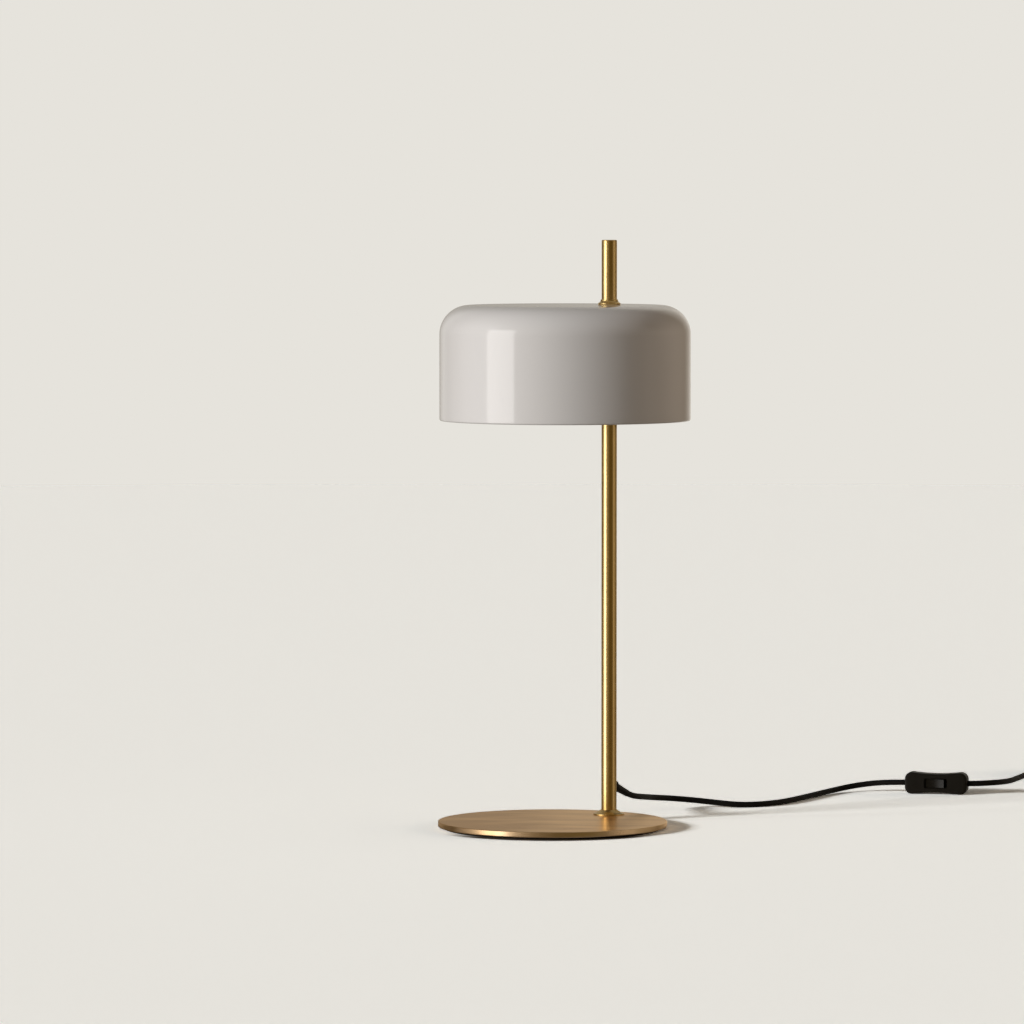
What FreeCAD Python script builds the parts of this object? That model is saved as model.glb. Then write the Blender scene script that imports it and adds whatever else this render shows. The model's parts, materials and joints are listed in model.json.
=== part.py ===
import FreeCAD, Part
import math
import os

# Desk lamp: a round brass foot, a thin brass stem near its rim, and a spun metal shade that the
# stem passes through off centre.  The shade slides on the stem and swivels about it.
# Millimetres.  +Z is up, the desk is z = 0, and the origin is the middle of the foot.
# +X points to the side where the cord leaves, +Y to the back.

os.makedirs("parts", exist_ok=True)

# ---------------------------------------------------------------- driving dimensions

lamp_height = 569.0          # desk to the top of the stem's cap

foot_diameter = 222.0
foot_thickness = 5.5
foot_rounding = 0.7
pad_thickness = 2.0
pad_inset = 6.0              # the pad stays this far inside the foot's edge

stem_diameter = 15.0
stem_wall = 1.25
stem_x = 55.5
stem_y = 59.5
cap_thickness = 1.8
cap_chamfer = 1.0
cap_spigot = 8.0

shade_diameter = 244.0
shade_height = 112.0
shade_rim = 394.0            # height of the rim above the desk
shade_shoulder = 28.5        # radius between the flat top and the side
shade_wall = 1.5
rim_bead = 1.6               # radius of the rolled edge
shade_offset = 50.0          # stem axis to shade axis
shade_bearing = 210.0        # direction from the stem to the shade axis, degrees from +X

collar_wall = 7.3            # foot collar: spread beyond the stem
collar_lip = 0.8             # thickness of both collars at their necks
collar_height = 6.0
collar_edge = 1.2
top_collar_wall = 3.5        # same on the shade's collar
top_collar_height = 5.8
top_collar_edge = 1.2

bolt_diameter = 6.0
bolt_head = 12.0
bolt_reach = 14.0            # into the foot plug
bolt_socket = 4.0
plug_height = 20.0
locator_diameter = 2.0
locator_length = 5.6
locator_offset = 4.75

cord_diameter = 5.8
lead_diameter = 3.6
gland_height = 36.0          # cord exit above the desk
gland_bearing = 68.0
gland_droop = 22.0           # the tail points down by this angle
gland_flange = 9.6
gland_flange_thickness = 2.4
gland_tail = 25.0
tail_lip = 0.35              # wall of a moulded tail at its thin end
grommet_inset = 0.5          # how far a grommet's wall stands inside its hole
slide_down = 20.0            # the shade's travel below its place in the photograph
outlet_clearance = 1.2       # between the sleeve at its lowest and the lead's grommet
outlet_bearing = 30.0
grommet_flange = 8.0
grommet_flange_thickness = 1.2
grommet_wall = 1.2

sleeve_wall = 1.5
sleeve_slit = 1.2
sleeve_tail = 33.0           # length of the friction sleeve
clip_margin = 1.0            # sleeve showing under the lead's clip
sleeve_flange = 2.2          # its flange's reach beyond its outside
sleeve_flange_thickness = 2.6
swivel_travel = 90.0         # each way, degrees
stop_clearance = 1.0         # degrees between the pin and a stop at the end of the travel
stop_pin_diameter = 1.6
clip_height = 6.0
clip_wall = 1.6
clip_reach = 6.5             # from the sleeve's surface to the lead's centre

hub_flange_wall = 8.0
hub_flange_thickness = 3.0
hub_length = 17.5
hub_wall = 3.75
hub_neck = 1.1               # wall of the threaded neck
hub_neck_height = 1.8        # above the washer
nut_lip = 3.5
washer_thickness = 0.5
washer_wall = 1.0
carrier_thickness = 2.0
carrier_width = 34.0

nipple_diameter = 10.0
nipple_wall = 1.4
nipple_length = 11.0
nipple_nut_width = 14.0
nipple_nut_thickness = 3.0
holder_diameter = 28.0
holder_wall = 1.8
holder_cap_height = 15.5
holder_body_height = 24.0
holder_mouth = 25.2
holder_rounding = 5.0
entry_flange = 8.0
entry_flange_thickness = 2.0
entry_rise = 5.0             # side entry above the split of the lampholder
contact_drop = 3.5           # bulb's tip below that split
shell_lift = 2.0             # screw shell above the holder's mouth
holder_clearance = 0.5       # over the bulb's tip

bulb_diameter = 45.0
bulb_length = 78.0
bulb_glass_wall = 0.9
bulb_cap_diameter = 13.8
bulb_cap_height = 18.0
bulb_tip_diameter = 8.0
bulb_tip_height = 3.0
bulb_cap_bevel = 1.5
bulb_neck_lip = 0.6          # glass neck outside its cap
bulb_neck_angle = 52.0       # where the ball turns into the neck, degrees up from its middle
screw_shell_wall = 0.5
contact_width = 3.0
contact_thickness = 0.6

switch_length = 64.0
switch_height = 22.5
switch_waist = 19.3
switch_thickness = 17.0
switch_corner = 7.0
switch_rounding = 2.2
switch_x = 395.4
switch_y = 345.0
switch_turn = -13.0          # degrees about +Z
switch_wall = 2.0
recess_length = 24.0
recess_height = 11.0
recess_depth = 1.4
rocker_length = 19.2
rocker_height = 8.2
rocker_gap = 0.35
rocker_throw = 9.0           # each way from level, degrees
rocker_pivot_depth = 4.6     # pivot below the switch's face
rocker_pin_diameter = 1.8
rocker_hollow = 1.2          # depth of the finger hollow
rocker_proud = 0.4
switch_screw_diameter = 2.6
switch_screw_head = 5.0
switch_screw_span = 46.0
cord_entry = 5.0             # how far the cord goes into the switch
recess_corner = 2.0
cavity_margin = 3.0          # beyond the rocker's opening, each end
cavity_floor = 1.0           # extra wall behind the cavity
pin_hold = 2.0               # rocker pin held in the cover, each end
rocker_boss = 1.4            # wall round the rocker's pin
rocker_taper = 0.8
screw_head_depth = 2.0
screw_sink = 0.4             # head below the back cover's face
screw_bite = 5.0             # into the front cover
screw_slot_width = 0.9
screw_slot_depth = 0.8
contact_strip = 0.8          # thickness of the two switch contacts
contact_foot_length = 7.0
contact_foot_height = 5.0
contact_post_width = 1.2
contact_post_height = 3.0
contact_post_rise = 3.6
contact_place = 8.5          # middle of a contact from the pivot, along the switch

coil_diameter = 64.0         # across at the middle of its turns
coil_across = 2              # turns side by side
coil_layers = 3
coil_x = 546.0
coil_y = 583.0
tie_width = 6.0
tie_thickness = 0.6
coil_softness = 0.8          # corner cut of the coil's section, as a share of the cord's radius

plug_x = 585.0
plug_y = 517.0               # where the cord enters the plug's tail
plug_width = 35.3
plug_thickness = 13.8
plug_body_length = 26.0
plug_tail = 12.0
plug_tail_width = 13.0
plug_rounding = 1.5
plug_corner = 2.0
plug_shoulder = 0.45         # share of the body before it narrows
plug_tail_step = 0.6
plug_tail_lip = 0.4
pin_diameter = 4.0
pin_length = 19.0
pin_spacing = 18.6
pin_sleeve = 10.0            # insulated stretch of each pin
pin_sleeve_diameter = 3.3
pin_root = 5.0               # held in the plug

# fits and clearances
running_fit = 0.05           # radial, between pieces that turn or slide on each other
loose_fit = 0.1              # radial, between pieces that are only slipped together
body_gap = 0.3               # between pieces of different bodies

# ---------------------------------------------------------------- places worked out from them

foot_radius = foot_diameter / 2
foot_low = pad_thickness
foot_high = foot_low + foot_thickness
stem_radius = stem_diameter / 2
stem_bore = stem_radius - stem_wall
stem_top = lamp_height - cap_thickness
bolt_radius = bolt_diameter / 2
cord_radius = cord_diameter / 2
lead_radius = lead_diameter / 2

shade_radius = shade_diameter / 2
shade_top = shade_rim + shade_height
shade_x = stem_x + shade_offset * math.cos(math.radians(shade_bearing))
shade_y = stem_y + shade_offset * math.sin(math.radians(shade_bearing))
shade_ceiling = shade_top - shade_wall
carrier_low = shade_ceiling - carrier_thickness

sleeve_bore = stem_radius + running_fit
sleeve_radius = sleeve_bore + sleeve_wall
flange_radius = sleeve_radius + sleeve_flange
hub_bore = sleeve_radius + running_fit
hub_radius = hub_bore + hub_wall
nut_thread = flange_radius + body_gap
hub_flange_low = carrier_low - hub_flange_thickness
hub_low = hub_flange_low - hub_length
neck_bore = stem_radius + body_gap
neck_radius = neck_bore + hub_neck
washer_high = shade_top + washer_thickness
neck_high = washer_high + hub_neck_height
sleeve_high = hub_flange_low - body_gap
sleeve_low = sleeve_high - sleeve_tail
nut_high = hub_low + nut_lip
flange_low = nut_high + body_gap
flange_high = flange_low + sleeve_flange_thickness
seat_high = flange_high + body_gap
clip_low = sleeve_low + clip_margin
outlet_height = sleeve_low - slide_down - outlet_clearance - grommet_flange / 2
clip_high = clip_low + clip_height
lead_offset = sleeve_radius + clip_reach

nipple_radius = nipple_diameter / 2
holder_radius = holder_diameter / 2
holder_high = carrier_low - nipple_nut_thickness
holder_split = holder_high - holder_cap_height
holder_low = holder_split - holder_body_height + holder_wall
holder_bore = bulb_cap_diameter / 2 + loose_fit + screw_shell_wall
entry_height = holder_split + entry_rise
bulb_tip_top = holder_split - contact_drop
bulb_low = bulb_tip_top - bulb_length
bulb_cap_high = bulb_tip_top - bulb_tip_height
bulb_cap_low = bulb_cap_high - bulb_cap_height

switch_z = switch_height / 2


# ---------------------------------------------------------------- helpers

def flat_face(steps):
    """Face in the XZ plane.  A step is a corner (x, z), or (through, end) for an arc."""
    def place(corner):
        return FreeCAD.Vector(corner[0], 0, corner[1])

    edges = []
    here = steps[0]
    for step in steps[1:] + [steps[0]]:
        if isinstance(step[0], tuple):
            through, end = step
            edges.append(Part.Arc(place(here), place(through), place(end)).toShape())
        else:
            end = step
            if end != here:
                edges.append(Part.LineSegment(place(here), place(end)).toShape())
        here = end
    return Part.Face(Part.Wire(edges))


def turned(steps, x, y):
    """Solid turned about the vertical axis through (x, y) from corners (radius, height)."""
    solid = flat_face(steps).revolve(FreeCAD.Vector(0, 0, 0), FreeCAD.Vector(0, 0, 1), 360)
    solid.translate(FreeCAD.Vector(x, y, 0))
    return solid


def tube(outside, inside, low, high, x, y):
    return turned([(inside, low), (outside, low), (outside, high), (inside, high)], x, y)


def rod(start, direction, radius, length):
    return Part.makeCylinder(radius, length, start, direction)


def around_stem(radius, bearing, height):
    """Point at a radius and bearing about the stem's axis."""
    angle = math.radians(bearing)
    return FreeCAD.Vector(stem_x + radius * math.cos(angle), stem_y + radius * math.sin(angle), height)


def outward(bearing, droop=0.0):
    """Unit vector along a bearing, pointing down by droop degrees."""
    flat = math.cos(math.radians(droop))
    angle = math.radians(bearing)
    return FreeCAD.Vector(flat * math.cos(angle), flat * math.sin(angle), -math.sin(math.radians(droop)))


def hexagon(width, low, height, x, y):
    """Hexagonal prism; width is across its flats."""
    corner = width / math.sqrt(3)
    points = []
    for side in range(7):
        angle = math.radians(60 * side)
        points.append(FreeCAD.Vector(x + corner * math.cos(angle), y + corner * math.sin(angle), low))
    return Part.Face(Part.makePolygon(points)).extrude(FreeCAD.Vector(0, 0, height))


def midway(centre, radius, angle):
    """Point on a circle in the XZ plane, for the middle of an arc."""
    turn = math.radians(angle)
    return (centre[0] + radius * math.cos(turn), centre[1] + radius * math.sin(turn))


def bent_tube(points, radius, share):
    """Tube along straight runs joined by tangent arcs; each arc takes a share of its shorter run."""
    points = [FreeCAD.Vector(*point) for point in points]
    edges = []
    bends = []
    here = points[0]
    for before, corner, after in zip(points, points[1:], points[2:]):
        inward = (before - corner).normalize()
        onward = (after - corner).normalize()
        trim = share * min((before - corner).Length, (after - corner).Length)
        turn = math.pi - inward.getAngle(onward)
        bend = trim / math.tan(turn / 2)
        bends.append(bend)
        arc_start = corner + inward * trim
        arc_end = corner + onward * trim
        middle = (inward + onward).normalize()
        through = corner + middle * (bend / math.cos(turn / 2) - bend)
        edges.append(Part.LineSegment(here, arc_start).toShape())
        edges.append(Part.Arc(arc_start, through, arc_end).toShape())
        here = arc_end
    edges.append(Part.LineSegment(here, points[-1]).toShape())
    path = Part.Wire(edges)
    start = Part.Circle(points[0], points[1] - points[0], radius).toShape()
    return path.makePipeShell([Part.Wire(start)], True, False), path.Length, bends


nodes = {}


# ---------------------------------------------------------------- foot

def make_foot():
    rim = foot_radius - foot_rounding
    bend = foot_high - foot_rounding
    plate = turned([(0, foot_low), (rim, foot_low), (foot_radius, foot_low + foot_rounding),
                    (foot_radius, bend),
                    (midway((rim, bend), foot_rounding, 45), (rim, foot_high)),
                    (0, foot_high)], 0, 0)
    sink = bolt_head / 2 + loose_fit
    hole = bolt_radius + loose_fit
    plate = plate.cut(turned([(0, foot_low), (sink, foot_low), (hole, foot_low + sink - hole),
                              (hole, foot_high), (0, foot_high)], stem_x, stem_y))
    locator_low = foot_high - locator_length / 2
    locator = rod(around_stem(locator_offset, shade_bearing, locator_low), FreeCAD.Vector(0, 0, 1),
                  locator_diameter / 2, locator_length)
    nodes["foot_plate"] = plate.cut(locator)
    nodes["foot_pad"] = turned([(0, 0), (foot_radius - pad_inset, 0),
                                (foot_radius - pad_inset, pad_thickness), (0, pad_thickness)], 0, 0)
    nodes["locating_pin"] = locator

    head = bolt_head / 2
    bolt = turned([(0, foot_low), (head, foot_low), (bolt_radius, foot_low + head - bolt_radius),
                   (bolt_radius, foot_high + bolt_reach), (0, foot_high + bolt_reach)], stem_x, stem_y)
    nodes["foot_bolt"] = bolt.cut(hexagon(bolt_socket, foot_low, bolt_socket / 2, stem_x, stem_y))

    plug = tube(stem_bore, bolt_radius, foot_high, foot_high + plug_height, stem_x, stem_y)
    nodes["stem_foot_plug"] = plug.cut(locator)

    inside = stem_radius + loose_fit
    spread = stem_radius + collar_wall
    top = foot_high + collar_height
    edge = foot_high + collar_edge
    neck = inside + collar_lip
    waist = (neck + 0.3 * (spread - neck), edge + 0.3 * (top - edge))
    nodes["foot_collar"] = turned([(inside, foot_high), (spread, foot_high), (spread, edge),
                                   (waist, (neck, top)), (inside, top)], stem_x, stem_y)


# ---------------------------------------------------------------- stem, its cap and the cord's gland

def make_stem():
    up = FreeCAD.Vector(0, 0, 1)
    stem = tube(stem_radius, stem_bore, foot_high, stem_top, stem_x, stem_y)
    axis_at_gland = around_stem(0, 0, gland_height)
    axis_at_outlet = around_stem(0, 0, outlet_height)
    gland_hole = cord_radius + grommet_wall
    outlet_hole = lead_radius + grommet_wall
    stem = stem.cut(rod(axis_at_gland, outward(gland_bearing), gland_hole, stem_diameter))
    nodes["stem_tube"] = stem.cut(rod(axis_at_outlet, outward(outlet_bearing), outlet_hole, stem_diameter))

    edge = lamp_height - cap_chamfer
    nodes["stem_cap"] = turned([(0, stem_top - cap_spigot), (stem_bore, stem_top - cap_spigot),
                                (stem_bore, stem_top), (stem_radius, stem_top), (stem_radius, edge),
                                (stem_radius - cap_chamfer, lamp_height), (0, lamp_height)],
                               stem_x, stem_y)

    stem_core = Part.makeCylinder(stem_radius, lamp_height, FreeCAD.Vector(stem_x, stem_y, 0), up)
    bush_start = around_stem(stem_bore, gland_bearing, gland_height)
    bush = rod(bush_start, outward(gland_bearing), gland_hole, stem_wall + grommet_inset)
    flange_depth = stem_radius + gland_flange_thickness
    flange = rod(axis_at_gland, outward(gland_bearing), gland_flange / 2, flange_depth)
    rounding = gland_flange_thickness / 2
    flange = flange.makeFillet(rounding, [edge_at_end(flange, flange_depth, axis_at_gland)])
    tail_start = around_stem(stem_radius + stem_wall, gland_bearing, gland_height)
    tail = Part.makeCone(gland_hole, cord_radius + tail_lip, gland_tail, tail_start,
                         outward(gland_bearing, gland_droop))
    nodes["cord_gland"] = flange.fuse(tail).cut(stem_core).fuse(bush).removeSplitter()

    grommet_depth = stem_radius + grommet_flange_thickness
    grommet = rod(axis_at_outlet, outward(outlet_bearing), grommet_flange / 2, grommet_depth)
    grommet = grommet.cut(stem_core)
    wall_start = around_stem(stem_bore, outlet_bearing, outlet_height)
    grommet = grommet.fuse(rod(wall_start, outward(outlet_bearing), outlet_hole, stem_wall + grommet_inset))
    bore = rod(axis_at_outlet, outward(outlet_bearing), lead_radius, 2 * grommet_depth)
    nodes["lead_grommet"] = grommet.cut(bore).removeSplitter()


def edge_at_end(solid, distance, start):
    """The round edge of a rod's far end."""
    return max(solid.Edges, key=lambda edge: (edge.CenterOfMass - start).Length)


# ---------------------------------------------------------------- leads inside the lamp

held_share = 0.9             # held leads bend as widely as their runs allow
free_share = 0.45

loop_route = [               # (from the stem's axis, height above the outlet) of the spare loop
    (16.0, -0.3),
    (22.8, -4.0),
    (28.2, -10.2),
    (34.8, -14.8),
    (42.8, -14.6),
    (49.2, -9.4),
    (51.2, -1.4),
    (48.2, 6.2),
    (41.4, 10.8),
    (33.6, 13.2),
    (26.0, 15.6),
    (20.0, 20.4),
]

wrap_route = [               # (radius, bearing, height) round the hub, from the clip to the lampholder
    (17.8, 42.0, 485.6),
    (18.6, 63.0, 488.6),
    (19.0, 92.0, 489.4),
    (19.0, 122.0, 489.6),
    (19.6, 154.0, 489.8),
    (22.5, 183.0, 489.4),
    (28.5, 203.0, 489.0),
]


lead_rise = 7.0              # straight up out of the clip before it goes round


def make_leads():
    wall_side = stem_bore - lead_radius - body_gap
    outlet_face = stem_radius + grommet_flange_thickness
    inner = [around_stem(stem_bore, gland_bearing, gland_height),
             around_stem(wall_side, gland_bearing + 180, gland_height),
             around_stem(wall_side, outlet_bearing + 180, outlet_height),
             around_stem(outlet_face, outlet_bearing, outlet_height)]
    nodes["inner_lead"] = bent_tube(inner, lead_radius, held_share)[0]

    lower = [around_stem(outlet_face + body_gap, outlet_bearing, outlet_height)]
    lower += [around_stem(reach, outlet_bearing, outlet_height + rise) for reach, rise in loop_route]
    lower += [around_stem(lead_offset, outlet_bearing, sleeve_low),
              around_stem(lead_offset, outlet_bearing, clip_high)]
    lead_lower, lower_length, lower_bends = bent_tube(lower, lead_radius, free_share)
    nodes["lead_lower"] = lead_lower
    print("lead_lower", round(lower_length, 1), "bends", [round(bend, 1) for bend in lower_bends])

    upper = [around_stem(lead_offset, outlet_bearing, clip_high + body_gap),
             around_stem(lead_offset, outlet_bearing, clip_high + lead_rise)]
    upper += [around_stem(*point) for point in wrap_route]
    upper += [around_stem(shade_offset - holder_radius - entry_flange_thickness, shade_bearing, entry_height)]
    lead_upper, upper_length, upper_bends = bent_tube(upper, lead_radius, free_share)
    nodes["lead_upper"] = lead_upper
    print("lead_upper", round(upper_length, 1), "bends", [round(bend, 1) for bend in upper_bends])


# ---------------------------------------------------------------- slider that grips the stem

def make_slider():
    up = FreeCAD.Vector(0, 0, 1)
    sleeve = tube(sleeve_radius, sleeve_bore, sleeve_low, sleeve_high, stem_x, stem_y)
    flange = tube(flange_radius, sleeve_bore, flange_low, flange_high, stem_x, stem_y)
    stop_half = math.degrees(math.asin(stop_pin_diameter / 2 / (sleeve_radius + sleeve_flange / 2)))
    kept = 2 * (swivel_travel - stop_half - stop_clearance)
    sector = Part.makeCylinder(2 * flange_radius, sleeve_flange_thickness,
                               FreeCAD.Vector(stem_x, stem_y, flange_low), up, kept)
    sector.rotate(FreeCAD.Vector(stem_x, stem_y, 0), up, shade_bearing + 180 - kept / 2)
    slit = Part.makeBox(2 * sleeve_radius, sleeve_slit, sleeve_tail,
                        FreeCAD.Vector(stem_x, stem_y - sleeve_slit / 2, sleeve_low))
    slit.rotate(FreeCAD.Vector(stem_x, stem_y, 0), up, shade_bearing)
    nodes["friction_sleeve"] = sleeve.fuse(flange.common(sector)).cut(slit).removeSplitter()

    band = tube(sleeve_radius + clip_wall, sleeve_radius, clip_low, clip_high, stem_x, stem_y)
    eye_place = around_stem(lead_offset, outlet_bearing, clip_low)
    eye = rod(eye_place, up, lead_radius + clip_wall, clip_height)
    web = Part.makeBox(clip_reach, 2 * clip_wall, clip_height,
                       FreeCAD.Vector(stem_x + sleeve_radius + clip_wall / 2, stem_y - clip_wall, clip_low))
    web.rotate(FreeCAD.Vector(stem_x, stem_y, 0), up, outlet_bearing)
    clip = band.fuse(web).fuse(eye).cut(rod(eye_place, up, lead_radius, clip_height))
    nodes["lead_clip"] = clip.removeSplitter()


# ---------------------------------------------------------------- shade and what clamps it

def make_shade():
    side = shade_radius - shade_shoulder
    bend = shade_top - shade_shoulder
    bead = rim_bead
    inner_radius = shade_radius - shade_wall
    step = 2 * bead - shade_wall
    bead_centre = (shade_radius - bead, shade_rim + bead)
    shell = turned([(0, shade_top), (side, shade_top),
                    (midway((side, bend), shade_shoulder, 45), (shade_radius, bend)),
                    (shade_radius, shade_rim + bead),
                    (midway(bead_centre, bead, -45), (shade_radius - bead, shade_rim)),
                    (midway(bead_centre, bead, -135), (shade_radius - 2 * bead, shade_rim + bead)),
                    (shade_radius - 2 * bead, shade_rim + 2 * bead),
                    (inner_radius, shade_rim + 2 * bead + step), (inner_radius, bend),
                    (midway((side, bend), shade_shoulder - shade_wall, 45), (side, shade_ceiling)),
                    (0, shade_ceiling)], shade_x, shade_y)
    neck_hole = rod(FreeCAD.Vector(stem_x, stem_y, carrier_low), FreeCAD.Vector(0, 0, 1),
                    neck_radius + loose_fit, shade_wall + carrier_thickness)
    nodes["shade_shell"] = shell.cut(neck_hole)

    half = carrier_width / 2
    bar = Part.makeBox(shade_offset, carrier_width, carrier_thickness,
                       FreeCAD.Vector(stem_x, stem_y - half, carrier_low))
    bar.rotate(FreeCAD.Vector(stem_x, stem_y, 0), FreeCAD.Vector(0, 0, 1), shade_bearing)
    nipple_hole = rod(FreeCAD.Vector(shade_x, shade_y, carrier_low), FreeCAD.Vector(0, 0, 1),
                      nipple_radius, carrier_thickness)
    for x, y in ((stem_x, stem_y), (shade_x, shade_y)):
        bar = bar.fuse(Part.makeCylinder(half, carrier_thickness, FreeCAD.Vector(x, y, carrier_low)))
    nodes["carrier_plate"] = bar.cut(neck_hole).cut(nipple_hole).removeSplitter()

    flange = neck_radius + hub_flange_wall
    hub = turned([(nut_thread, hub_low), (hub_radius, hub_low), (hub_radius, hub_flange_low),
                  (flange, hub_flange_low), (flange, carrier_low), (neck_radius, carrier_low),
                  (neck_radius, neck_high), (neck_bore, neck_high), (neck_bore, hub_flange_low),
                  (hub_bore, hub_flange_low), (hub_bore, seat_high), (nut_thread, seat_high)],
                 stem_x, stem_y)
    pin_offset = sleeve_radius + sleeve_flange / 2
    pin = rod(around_stem(pin_offset, shade_bearing, flange_low), FreeCAD.Vector(0, 0, 1),
              stop_pin_diameter / 2, 2 * sleeve_flange_thickness)
    nodes["shade_hub"] = hub.cut(pin)
    nodes["stop_pin"] = pin

    nut_bore = sleeve_radius + body_gap
    nut_low = hub_low - nut_lip
    nodes["sleeve_nut"] = turned([(nut_bore, nut_low), (hub_radius, nut_low), (hub_radius, hub_low),
                                  (nut_thread, hub_low), (nut_thread, nut_high), (nut_bore, nut_high)],
                                 stem_x, stem_y)

    washer_bore = neck_radius + loose_fit
    nodes["collar_washer"] = tube(washer_bore + washer_wall, washer_bore, shade_top, washer_high,
                                  stem_x, stem_y)
    spread = stem_radius + top_collar_wall
    top = washer_high + top_collar_height
    edge = washer_high + top_collar_edge
    inside = stem_radius + body_gap / 2
    lip = inside + collar_lip
    waist = (lip + 0.35 * (spread - lip), edge + 0.3 * (top - edge))
    nodes["shade_collar"] = turned([(neck_radius, washer_high), (spread, washer_high), (spread, edge),
                                    (waist, (lip, top - collar_lip)), (lip, top), (inside, top),
                                    (inside, neck_high + body_gap),
                                    (neck_radius, neck_high)], stem_x, stem_y)


# ---------------------------------------------------------------- lampholder and bulb

def make_lampholder():
    nipple_top = shade_ceiling - loose_fit
    nodes["holder_nipple"] = tube(nipple_radius, nipple_radius - nipple_wall,
                                  nipple_top - nipple_length, nipple_top, shade_x, shade_y)
    nut = hexagon(nipple_nut_width, holder_high, nipple_nut_thickness, shade_x, shade_y)
    nodes["nipple_nut"] = nut.cut(rod(FreeCAD.Vector(shade_x, shade_y, holder_high),
                                      FreeCAD.Vector(0, 0, 1), nipple_radius, nipple_nut_thickness))

    toward_stem = outward(shade_bearing + 180)
    inner_radius = holder_radius - holder_wall
    shoulder = (holder_radius - holder_rounding, holder_high - holder_rounding)
    cap = turned([(nipple_radius, holder_high), (shoulder[0], holder_high),
                  (midway(shoulder, holder_rounding, 45), (holder_radius, shoulder[1])),
                  (holder_radius, holder_split), (inner_radius, holder_split),
                  (inner_radius, shoulder[1]), (shoulder[0], holder_high - holder_wall),
                  (nipple_radius, holder_high - holder_wall)], shade_x, shade_y)
    entry = FreeCAD.Vector(shade_x, shade_y, entry_height)
    entry_hole = lead_radius + grommet_wall
    nodes["holder_cap"] = cap.cut(rod(entry, toward_stem, entry_hole, holder_diameter))

    holder_core = Part.makeCylinder(holder_radius, holder_cap_height,
                                    FreeCAD.Vector(shade_x, shade_y, holder_split))
    bush = rod(entry, toward_stem, entry_flange / 2, holder_radius + entry_flange_thickness).cut(holder_core)
    wall_start = entry + toward_stem * inner_radius
    bush = bush.fuse(rod(wall_start, toward_stem, entry_hole, holder_wall + grommet_inset))
    nodes["entry_bush"] = bush.cut(rod(entry, toward_stem, lead_radius, holder_diameter)).removeSplitter()

    inside_cap = inner_radius - loose_fit
    step_high = holder_split + holder_wall
    mouth = holder_mouth / 2
    contact_room = bulb_cap_diameter / 2 - 2 * holder_clearance
    contact_high = bulb_tip_top + holder_clearance
    nodes["holder_body"] = turned([(holder_bore, holder_low), (mouth, holder_low),
                                   (holder_radius, holder_split), (inside_cap, holder_split),
                                   (inside_cap, step_high), (contact_room, step_high),
                                   (contact_room, contact_high), (holder_bore, contact_high)],
                                  shade_x, shade_y)
    nodes["holder_screw_shell"] = tube(holder_bore, holder_bore - screw_shell_wall,
                                       holder_low + shell_lift, bulb_cap_high, shade_x, shade_y)
    contact_start = FreeCAD.Vector(shade_x - contact_room + contact_width / 4,
                                   shade_y - contact_width / 2, bulb_tip_top)
    strip = Part.makeBox(2 * contact_room - contact_width / 2, contact_width, contact_thickness,
                         contact_start)
    riser = Part.makeBox(contact_thickness, contact_width, step_high - bulb_tip_top, contact_start)
    nodes["holder_contact"] = strip.fuse(riser).removeSplitter()


def make_bulb():
    ball = bulb_diameter / 2
    centre = bulb_low + ball
    neck = bulb_cap_diameter / 2 + bulb_neck_lip
    neck_z = bulb_cap_low
    lean = math.radians(bulb_neck_angle)

    def skin(radius, ball_radius):
        """Outline from the lowest point of the ball to the top of the neck, arcs as arcs."""
        low = (0, centre - ball_radius)
        leave = (ball_radius * math.cos(lean), centre + ball_radius * math.sin(lean))
        waist = (radius + 0.25 * (leave[0] - radius), leave[1] + 0.4 * (neck_z - leave[1]))
        return low, midway((0, centre), ball_radius, -20), leave, waist, (radius, neck_z)

    low, through, leave, waist, top = skin(neck, ball)
    low_in, through_in, leave_in, waist_in, top_in = skin(neck - bulb_glass_wall, ball - bulb_glass_wall)
    nodes["bulb_glass"] = turned([low, (through, leave), (waist, top), top_in,
                                  (waist_in, leave_in), (through_in, low_in)], shade_x, shade_y)

    cap = bulb_cap_diameter / 2
    tip = bulb_tip_diameter / 2
    nodes["bulb_cap"] = turned([(0, bulb_cap_low), (cap + bulb_neck_lip, bulb_cap_low),
                                (cap, bulb_cap_low + bulb_cap_bevel), (cap, bulb_cap_high - bulb_cap_bevel),
                                (cap - bulb_cap_bevel, bulb_cap_high), (0, bulb_cap_high)], shade_x, shade_y)
    nodes["bulb_contact"] = turned([(0, bulb_cap_high), (tip, bulb_cap_high),
                                    (tip / 2, bulb_tip_top), (0, bulb_tip_top)], shade_x, shade_y)


# ---------------------------------------------------------------- cord, coil, tie and plug

switch_cord_route = [        # from the gland's tail to the switch
    (67.4, 88.9, 26.6),
    (73.0, 102.8, 21.0),
    (80.5, 124.0, 18.6),
    (91.0, 150.0, 15.8),
    (103.0, 173.0, 13.1),
    (119.0, 192.0, 10.5),
    (140.0, 202.0, 7.9),
    (163.0, 204.0, 5.2),
    (186.0, 200.0, 3.1),
    (208.0, 206.0, 2.9),
    (227.0, 224.0, 2.9),
    (243.0, 251.0, 2.9),
    (262.0, 292.0, 2.9),
    (279.0, 330.0, 2.9),
    (292.5, 353.0, 3.6),
    (308.0, 366.0, 5.7),
    (328.0, 367.5, 8.6),
    (347.4, 356.1, 11.0),
    (369.1, 351.1, 11.25),
]

coil_cord_route = [          # from the switch to the coil
    (421.7, 338.9, 11.25),
    (432.4, 336.4, 11.3),
    (444.0, 338.2, 11.6),
    (454.4, 344.4, 11.7),
    (463.0, 355.0, 11.3),
    (470.5, 373.0, 10.4),
    (478.0, 403.0, 8.9),
    (486.0, 444.0, 6.9),
    (495.0, 489.0, 4.7),
    (503.5, 530.0, 3.2),
    (509.6, 558.0, 2.9),
    (511.1, 582.0, 3.5),
]

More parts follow.
